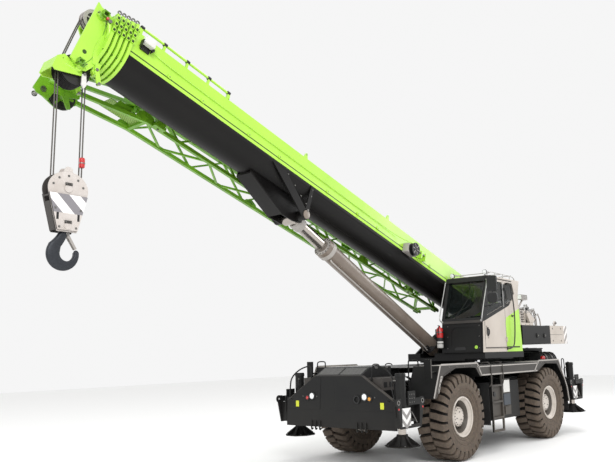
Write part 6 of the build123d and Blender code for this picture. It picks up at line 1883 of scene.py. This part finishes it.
def makeHook():
    # forged hook: bowl thick at the back and thin at the point, shank, latch and its spring
    axis = onBoom(boomSizes["headU"], 0, boomSizes["headW"])
    centre = Vector((axis.x, 0, hoist["hookZ"]))
    body = bodyOf("hook")
    mesh = bmesh.new()
    steps, ring = 44, 20
    loops = []
    for step in range(steps + 1):
        share = step / steps
        if share < 0.22:
            # neck, leaning out of the shank into the back of the bowl
            t = share / 0.22
            middle = Vector((0.135 * t ** 1.6, 0, 0.335 - 0.235 * t))
            wide, deep = 0.052 + 0.032 * t, 0.050 + 0.004 * t
            along = Vector((0.35 * t, 0, -1)).normalized()
        else:
            t = (share - 0.22) / 0.78
            angle = math.radians(28 - 218 * t)
            inner = 0.108
            seat = Vector((-0.052, 0, 0.008))
            outward = Vector((math.cos(angle), 0, math.sin(angle)))
            far = outward * 0.240
            # where the ray from the middle meets the seat circle
            cross = seat.dot(outward)
            reach = cross + math.sqrt(max(0.0, cross * cross - seat.length_squared + inner * inner))
            near = outward * reach
            middle = (far + near) / 2
            wide = (far - near).length / 2
            deep = 0.052 - 0.016 * t
            along = Vector((outward.z, 0, -outward.x))
        across = Vector((along.z, 0, -along.x)) * -1
        loop = []
        for corner in range(ring):
            turn = math.tau * corner / ring
            c, s = math.cos(turn), math.sin(turn)
            soft = 0.62
            a = math.copysign(abs(c) ** soft, c) * wide
            b = math.copysign(abs(s) ** soft, s) * deep
            if share >= 0.22:
                # broad at the inside, narrower outside
                b *= 1.0 - 0.28 * (a / wide if wide else 0) * (1 if across.dot(middle) > 0 else -1)
            loop.append(mesh.verts.new(centre + middle + across * a + Vector((0, b, 0))))
        loops.append(loop)
    for first, second in zip(loops, loops[1:]):
        for index in range(ring):
            mesh.faces.new((first[index], first[(index + 1) % ring], second[(index + 1) % ring], second[index]))
    mesh.faces.new(loops[0])
    mesh.faces.new(list(reversed(loops[-1])))
    tip = sum((v.co for v in loops[-1]), Vector()) / ring
    ball = bmesh.ops.create_uvsphere(mesh, u_segments=16, v_segments=10, radius=0.036)["verts"]
    bmesh.ops.translate(mesh, vec=tip - Vector((0, 0, 0.004)), verts=ball)
    addRod(mesh, centre + Vector((0, 0, 0.30)), centre + Vector((0, 0, 0.51)), 0.042, 28)
    addRod(mesh, centre + Vector((0, 0, 0.442)), centre + Vector((0, 0, 0.51)), 0.057, 6)
    piece = newPiece("hook_forging", mesh, forged, body, 0.0, 2, 60)
    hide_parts("hook")
    mesh = bmesh.new()
    pivot = centre + Vector((-0.042, 0, 0.285))
    point = centre + Vector((-0.180, 0, 0.075))
    for y in (-0.030, 0.030):
        addBar(mesh, pivot + Vector((0, y, 0)), point + Vector((0, y * 0.75, 0)), 0.006, 0.036)
    addBar(mesh, pivot.lerp(point, 0.35), point, 0.048, 0.006)
    addRod(mesh, pivot - Vector((0, 0.060, 0)), pivot + Vector((0, 0.060, 0)), 0.011, 12, material=1)
    for turn in range(6):
        addLathe(mesh, [(-0.003, 0.014), (0.0, 0.019), (0.003, 0.014)], pivot + Vector((0, -0.018 + turn * 0.007, 0)),
                 (0, 1, 0), 14,
                 material=1)
    for y in (-0.05, 0.05):
        addBox(mesh, pivot + Vector((-0.02, y - 0.006, -0.02)), pivot + Vector((0.03, y + 0.006, 0.02)), 1)
    newPiece("hook_latch", mesh, [lightGreyAndHighlight, steel], body, 0.0015, 2)


makeHook()
print("boom")


# turntable, winches, power housing and counterweight

rearSizes = {"weightTop": 2.83, "weightHalf": 1.30,
             "winches": (-5.647, -6.397), "winchZ": 3.09, "cheekX": -6.13, "hatchX": -7.06}


def makeTurntableDetails():
    mesh = bmesh.new()
    slew = Vector((machine["slewX"], 0, 0))
    # bolts in the slewing ring, above and below
    for count, radius, z in ((44, 0.70, 1.70), (44, 0.62, 1.84)):
        for index in range(count):
            angle = math.tau * index / count
            addNut(mesh, slew + Vector((radius * math.cos(angle), radius * math.sin(angle), z)), (0, 0, 1), 0.016,
                   0.022, 1)
    # pin caps and doubler plates on both cheeks
    for hand in (-1, 1):
        face = hand * 0.45
        foot = onBoom(0, 0, 0)
        place = Vector((foot.x, face, foot.z))
        addLathe(mesh, [(0.0, 0.20), (0.016, 0.196), (0.016, 0.135), (0.0, 0.13)], place, (0, hand, 0), 40)
        for index in range(10):
            angle = math.tau * index / 10
            addNut(mesh, place + Vector((0.166 * math.cos(angle), hand * 0.016, 0.166 * math.sin(angle))),
                   (0, hand, 0), 0.012, 0.012, 1)
        for x, z in ((-2.62, 2.02), (-2.95, 2.06), (-3.35, 2.10), (-3.75, 2.16), (-4.15, 2.24)):
            addNut(mesh, (x, face, z), (0, hand, 0), 0.014, 0.014, 1)
        for x, z in ((-5.90, 2.64), (-5.55, 2.64), (-5.20, 2.64), (-4.85, 2.64), (-4.50, 2.64)):
            addNut(mesh, (x, hand * 0.49, z), (0, hand, 0), 0.013, 0.013, 1)
    newPiece("turntable_fittings", mesh, [charcoal, steel], "superstructure", smooth=40)
    # hose bundles from the ring up the cheek to the winches and the housing
    mesh = bmesh.new()
    for row in range(6):
        y = 0.475 + (row % 3) * 0.035
        z = 2.42 + (row // 3) * 0.035
        addTube(mesh, [Vector((-2.70 - row * 0.04, 0.47, 2.10)), Vector((-3.00 - row * 0.03, y, z - 0.10)),
                       Vector((-3.5, y, z)),
                       Vector((-4.10, y, z + 0.02)), Vector((-4.45, y + 0.03, z + 0.30)),
                       Vector((-4.55 - row * 0.03, y + 0.08, 2.90)),
                       Vector((-4.80 - row * 0.05, 0.66, 3.02))], 0.015, 10)
    for row in range(7):
        x = -5.05 - row * 0.085
        side = 0.52 + (row % 3) * 0.05
        addTube(mesh, [Vector((x + 0.10, side, 2.72)), Vector((x, side + 0.03, 2.95)),
                       Vector((x - 0.03, side + 0.02, 3.14 + (row % 4) * 0.05)),
                       Vector((x - 0.14, side - 0.02, 3.22 + (row % 4) * 0.04)), Vector((x - 0.24, side + 0.01, 3.05)),
                       Vector((x - 0.27, side + 0.03, 2.84))], 0.014, 10)
    newPiece("turntable_hoses", mesh, hoseRubber, "superstructure", smooth=60)
    # light sleeved hoses that loop over from the housing to the winches
    mesh = bmesh.new()
    for row in range(16):
        y = 0.58 + (row % 4) * 0.075
        lift = 3.26 + (row * 7 % 5) * 0.045 - row * 0.007
        x = -5.10 - row * 0.085
        addTube(mesh, [Vector((x + 0.16, y + 0.06, 3.02)), Vector((x + 0.12, y + 0.05, lift - 0.08)),
                       Vector((x + 0.02, y + 0.02, lift)),
                       Vector((x - 0.16, y - 0.01, lift + 0.02)), Vector((x - 0.30, y - 0.03, lift - 0.09)),
                       Vector((x - 0.36, y - 0.04, 3.0)), Vector((x - 0.37, y - 0.04, 2.84))], 0.017, 10, row % 3 == 1)
        for spot in (Vector((x + 0.02, y + 0.02, lift)), Vector((x - 0.16, y - 0.01, lift + 0.02))):
            addLathe(mesh, [(-0.02, 0.018), (-0.02, 0.024), (0.02, 0.024), (0.02, 0.018)], spot, (1, 0, 0), 12,
                     closed=True, material=1)
    newPiece("sleeved_hoses", mesh, [lightGreyAndHighlight, silverTube], "superstructure", smooth=60)


makeTurntableDetails()


def makeWinchDetails():
    mesh = bmesh.new()
    ropes = bmesh.new()
    leads = bmesh.new()
    for index, x in enumerate(rearSizes["winches"]):
        centre = Vector((x, 0, rearSizes["winchZ"]))
        # rope laid on the drum, one ring per turn
        turns = 26
        for turn in range(turns):
            y = -0.312 + turn * 0.624 / (turns - 1)
            addLathe(ropes, [(-0.010, 0.182), (-0.006, 0.198), (0.0, 0.203), (0.006, 0.198), (0.010, 0.182)],
                     centre + Vector((0, y, 0)), (0, 1, 0), 40)
        # along the boom's top, from the guide roller over the foot to the head
        side = 0.038 - index * 0.076
        for first, second in ((onBoom(0.62, side, 0.66), onBoom(11.60, side, 0.70)),
                              (onBoom(11.60, side, 0.70), onBoom(12.06, side, 0.62))):
            addRod(leads, first, second, 0.010, 8)
        # motor caps, bolts on the stands, flange holes and the pressure roller's springs
        for hand in (-1, 1):
            place = centre + Vector((0, hand * 0.45, 0))
            addLathe(mesh, [(0.0, 0.17), (0.020, 0.165), (0.020, 0.10), (0.0, 0.098)], place, (0, hand, 0), 32)
            for bolt in range(8):
                angle = math.tau * bolt / 8
                addNut(mesh, place + Vector((0.135 * math.cos(angle), hand * 0.020, 0.135 * math.sin(angle))),
                       (0, hand, 0), 0.011, 0.012, 1)
            # flange holes drawn as black discs: painted shade in the holes
            for hole in range(8):
                angle = math.tau * hole / 8 + 0.2
                spot = centre + Vector((0.25 * math.cos(angle), hand * 0.368, 0.25 * math.sin(angle)))
                addLathe(mesh, [(0.0, 0.0), (0.0, 0.020), (0.004, 0.026), (0.004, 0.0)], spot, (0, hand, 0), 14,
                         material=2)
        cap = centre + Vector((0, 0.66, 0))
        addLathe(mesh, [(0.0, 0.088), (0.016, 0.088), (0.024, 0.070), (0.024, 0.0)], cap, (0, 1, 0), 28)
        addRod(mesh, cap + Vector((0.05, -0.10, 0.085)), cap + Vector((0.05, -0.10, 0.15)), 0.026, 14, material=1)
        addRod(mesh, cap + Vector((-0.05, -0.10, 0.085)), cap + Vector((-0.05, -0.10, 0.15)), 0.026, 14, material=1)
        for hand in (-1, 1):
            addBar(mesh, centre + Vector((-0.14, hand * 0.355, 0.17)), centre + Vector((-0.23, hand * 0.355, 0.22)),
                   0.03, 0.018)
        addRod(mesh, centre + Vector((-0.215, -0.36, 0.185)), centre + Vector((-0.215, 0.36, 0.185)), 0.022, 16,
               material=1)
        for route in (
            ((0.05, -0.10, 0.15), (0.06, -0.09, 0.25), (0.18, -0.06, 0.27), (0.30, -0.08, 0.12), (0.34, -0.14, -0.20),
             (0.34, -0.14, -0.40)),
            ((-0.05, -0.10, 0.15), (-0.04, -0.09, 0.23), (0.08, -0.02, 0.31), (0.26, -0.04, 0.16), (0.30, -0.09, -0.20),
             (0.30, -0.09, -0.40)),
        ):
            addTube(mesh, [cap + Vector(point) for point in route], 0.018, 10, 3)
    newPiece("winch_fittings", mesh, [fenderGrey, steel, sealRubberAndShade, hoseRubber], "superstructure",
             smooth=40)
    newPiece("winch_ropes", ropes, wireSteel, "superstructure", smooth=60)
    addRod(leads, onBoom(0.62, -0.12, 0.62), onBoom(0.62, 0.12, 0.62), 0.04, 20)
    for y in (-0.135, 0.135):
        addPlate(leads, [(0.54, 0.578), (0.70, 0.578), (0.66, 0.655), (0.58, 0.655)], boomSideSpace(y + 0.008), 0.016)
    newPiece("boom_ropes", leads, wireSteel, bodyOf("boom_base"), smooth=60)


makeWinchDetails()


def makePowerHousing():
    # warm grey louvre housing beside the boom foot, its recess dark inside
    mesh = cleanCopy("power_housing")
    lampShift = -0.50
    for face in mesh.faces:
        place = face.calc_center_median()
        face.material_index = 0
        if place.z > 3.25:
            face.material_index = 2
        elif abs(place.y - 1.22) < 0.012 and abs(face.normal.y) > 0.8:
            face.material_index = 1
    for vert in mesh.verts:
        if vert.co.z > 3.4:
            vert.co.x += lampShift
    data = meshData(mesh, "power_housing_finished")
    piece = finishPiece("power_housing_finished", data, [warmGrey, sealRubberAndShade, lightGreyAndHighlight], "superstructure",
                        0.008, 3)
    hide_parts("power_housing")
    mesh = bmesh.new()
    # seam between the lid and the side, latches, hinges and the lamp's glass
    lid = [(-4.349, 3.150), (-4.349, 3.156), (-4.897, 3.156), (-4.905, 3.150)]
    addPlate(mesh, lid, sideSpace(1.3012), 0.0012)
    for x in (-4.45, -4.70):
        addBox(mesh, (x - 0.035, 1.30, 3.135), (x + 0.035, 1.318, 3.175), 1)
    for x in (-4.50, -4.66):
        addBox(mesh, (x - 0.03, 0.699, 3.12), (x + 0.03, 0.710, 3.17), 1)
    addBox(mesh, (lampShift - 4.8468, 0.80, 3.545), (lampShift - 4.840, 0.90, 3.655), 2)
    for z in (3.56, 3.60, 3.64):
        addBox(mesh, (lampShift - 5.19, 0.91, z), (lampShift - 4.86, 0.914, z + 0.018), 1)
    for x, z in ((-4.40, 2.84), (-4.65, 2.84), (-4.90, 2.84), (-4.37, 3.0), (-4.37, 3.12), (-5.0, 2.90), (-5.1, 2.90)):
        addNut(mesh, (x, 1.30, z), (0, 1, 0), 0.009, 0.008, 1)
    newPiece("housing_trim", mesh, [sealRubberAndShade, steel, lampGlass], "superstructure", 0.0015, 2)


makePowerHousing()


def makeCounterweight():
    # dark cheeks ahead, warm grey slab, and a hatched end
    mesh = cleanCopy("counterweight")
    for x in (rearSizes["cheekX"], rearSizes["hatchX"]):
        cutPlane(mesh, (x, 0, 0), (1, 0, 0))
    for face in mesh.faces:
        place = face.calc_center_median()
        if place.x > rearSizes["cheekX"]:
            face.material_index = 1
        elif place.x < rearSizes["hatchX"] and place.z > 2.36 and abs(face.normal.z) < 0.6:
            face.material_index = 3 if abs(face.normal.y) > 0.8 else 2
        else:
            face.material_index = 0
    data = meshData(mesh, "counterweight_finished")
    piece = finishPiece("counterweight_finished", data, [warmGrey, charcoal, weightHatch, weightSideHatch],
                        "superstructure", 0.012, 3)
    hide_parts("counterweight")
    mesh = bmesh.new()
    # lifting eyes with shackles, hanging pins, bolts and the joint lines of the stacked slabs
    top, half = rearSizes["weightTop"], rearSizes["weightHalf"]
    for hand in (-1, 1):
        y = hand * 1.02
        addRod(mesh, (-7.147, y - 0.055, 2.925), (-7.147, y + 0.055, 2.925), 0.020, 16, material=1)
        face = hand * half
        y0, y1 = sorted((face, face + hand * 0.0012))
        addBox(mesh, (-6.98, y0, 2.585), (-6.13, y1, 2.592), 2)
        addBox(mesh, (-6.135, y0, 2.345), (-6.128, y1, top - 0.004), 2)
        for x in (-6.30, -6.85):
            for z in (2.42, 2.75):
                addNut(mesh, (x, face, z), (0, hand, 0), 0.014, 0.014, 1)
        for x, z in ((-5.75, 2.56), (-5.30, 2.56)):
            addLathe(mesh, [(0.0, 0.065), (0.018, 0.062), (0.018, 0.0)], Vector((x, face, z)), (0, hand, 0), 28,
                     material=0)
            addNut(mesh, (x, face + hand * 0.018, z), (0, hand, 0), 0.022, 0.018, 1)
    for x in (-6.35, -6.75, -7.25):
        for y in (-0.72, 0.72):
            addNut(mesh, (x, y, top), (0, 0, 1), 0.022, 0.02, 1)
    for y in (-0.55, 0.55):
        addBox(mesh, (-7.4795, y - 0.05, 2.40), (-7.476, y + 0.05, 2.44), 3)
    newPiece("weight_fittings", mesh, [charcoal, steel, sealRubberAndShade, redPlastic], "superstructure", 0.002,
             2, 40)


makeCounterweight()
print("rear")
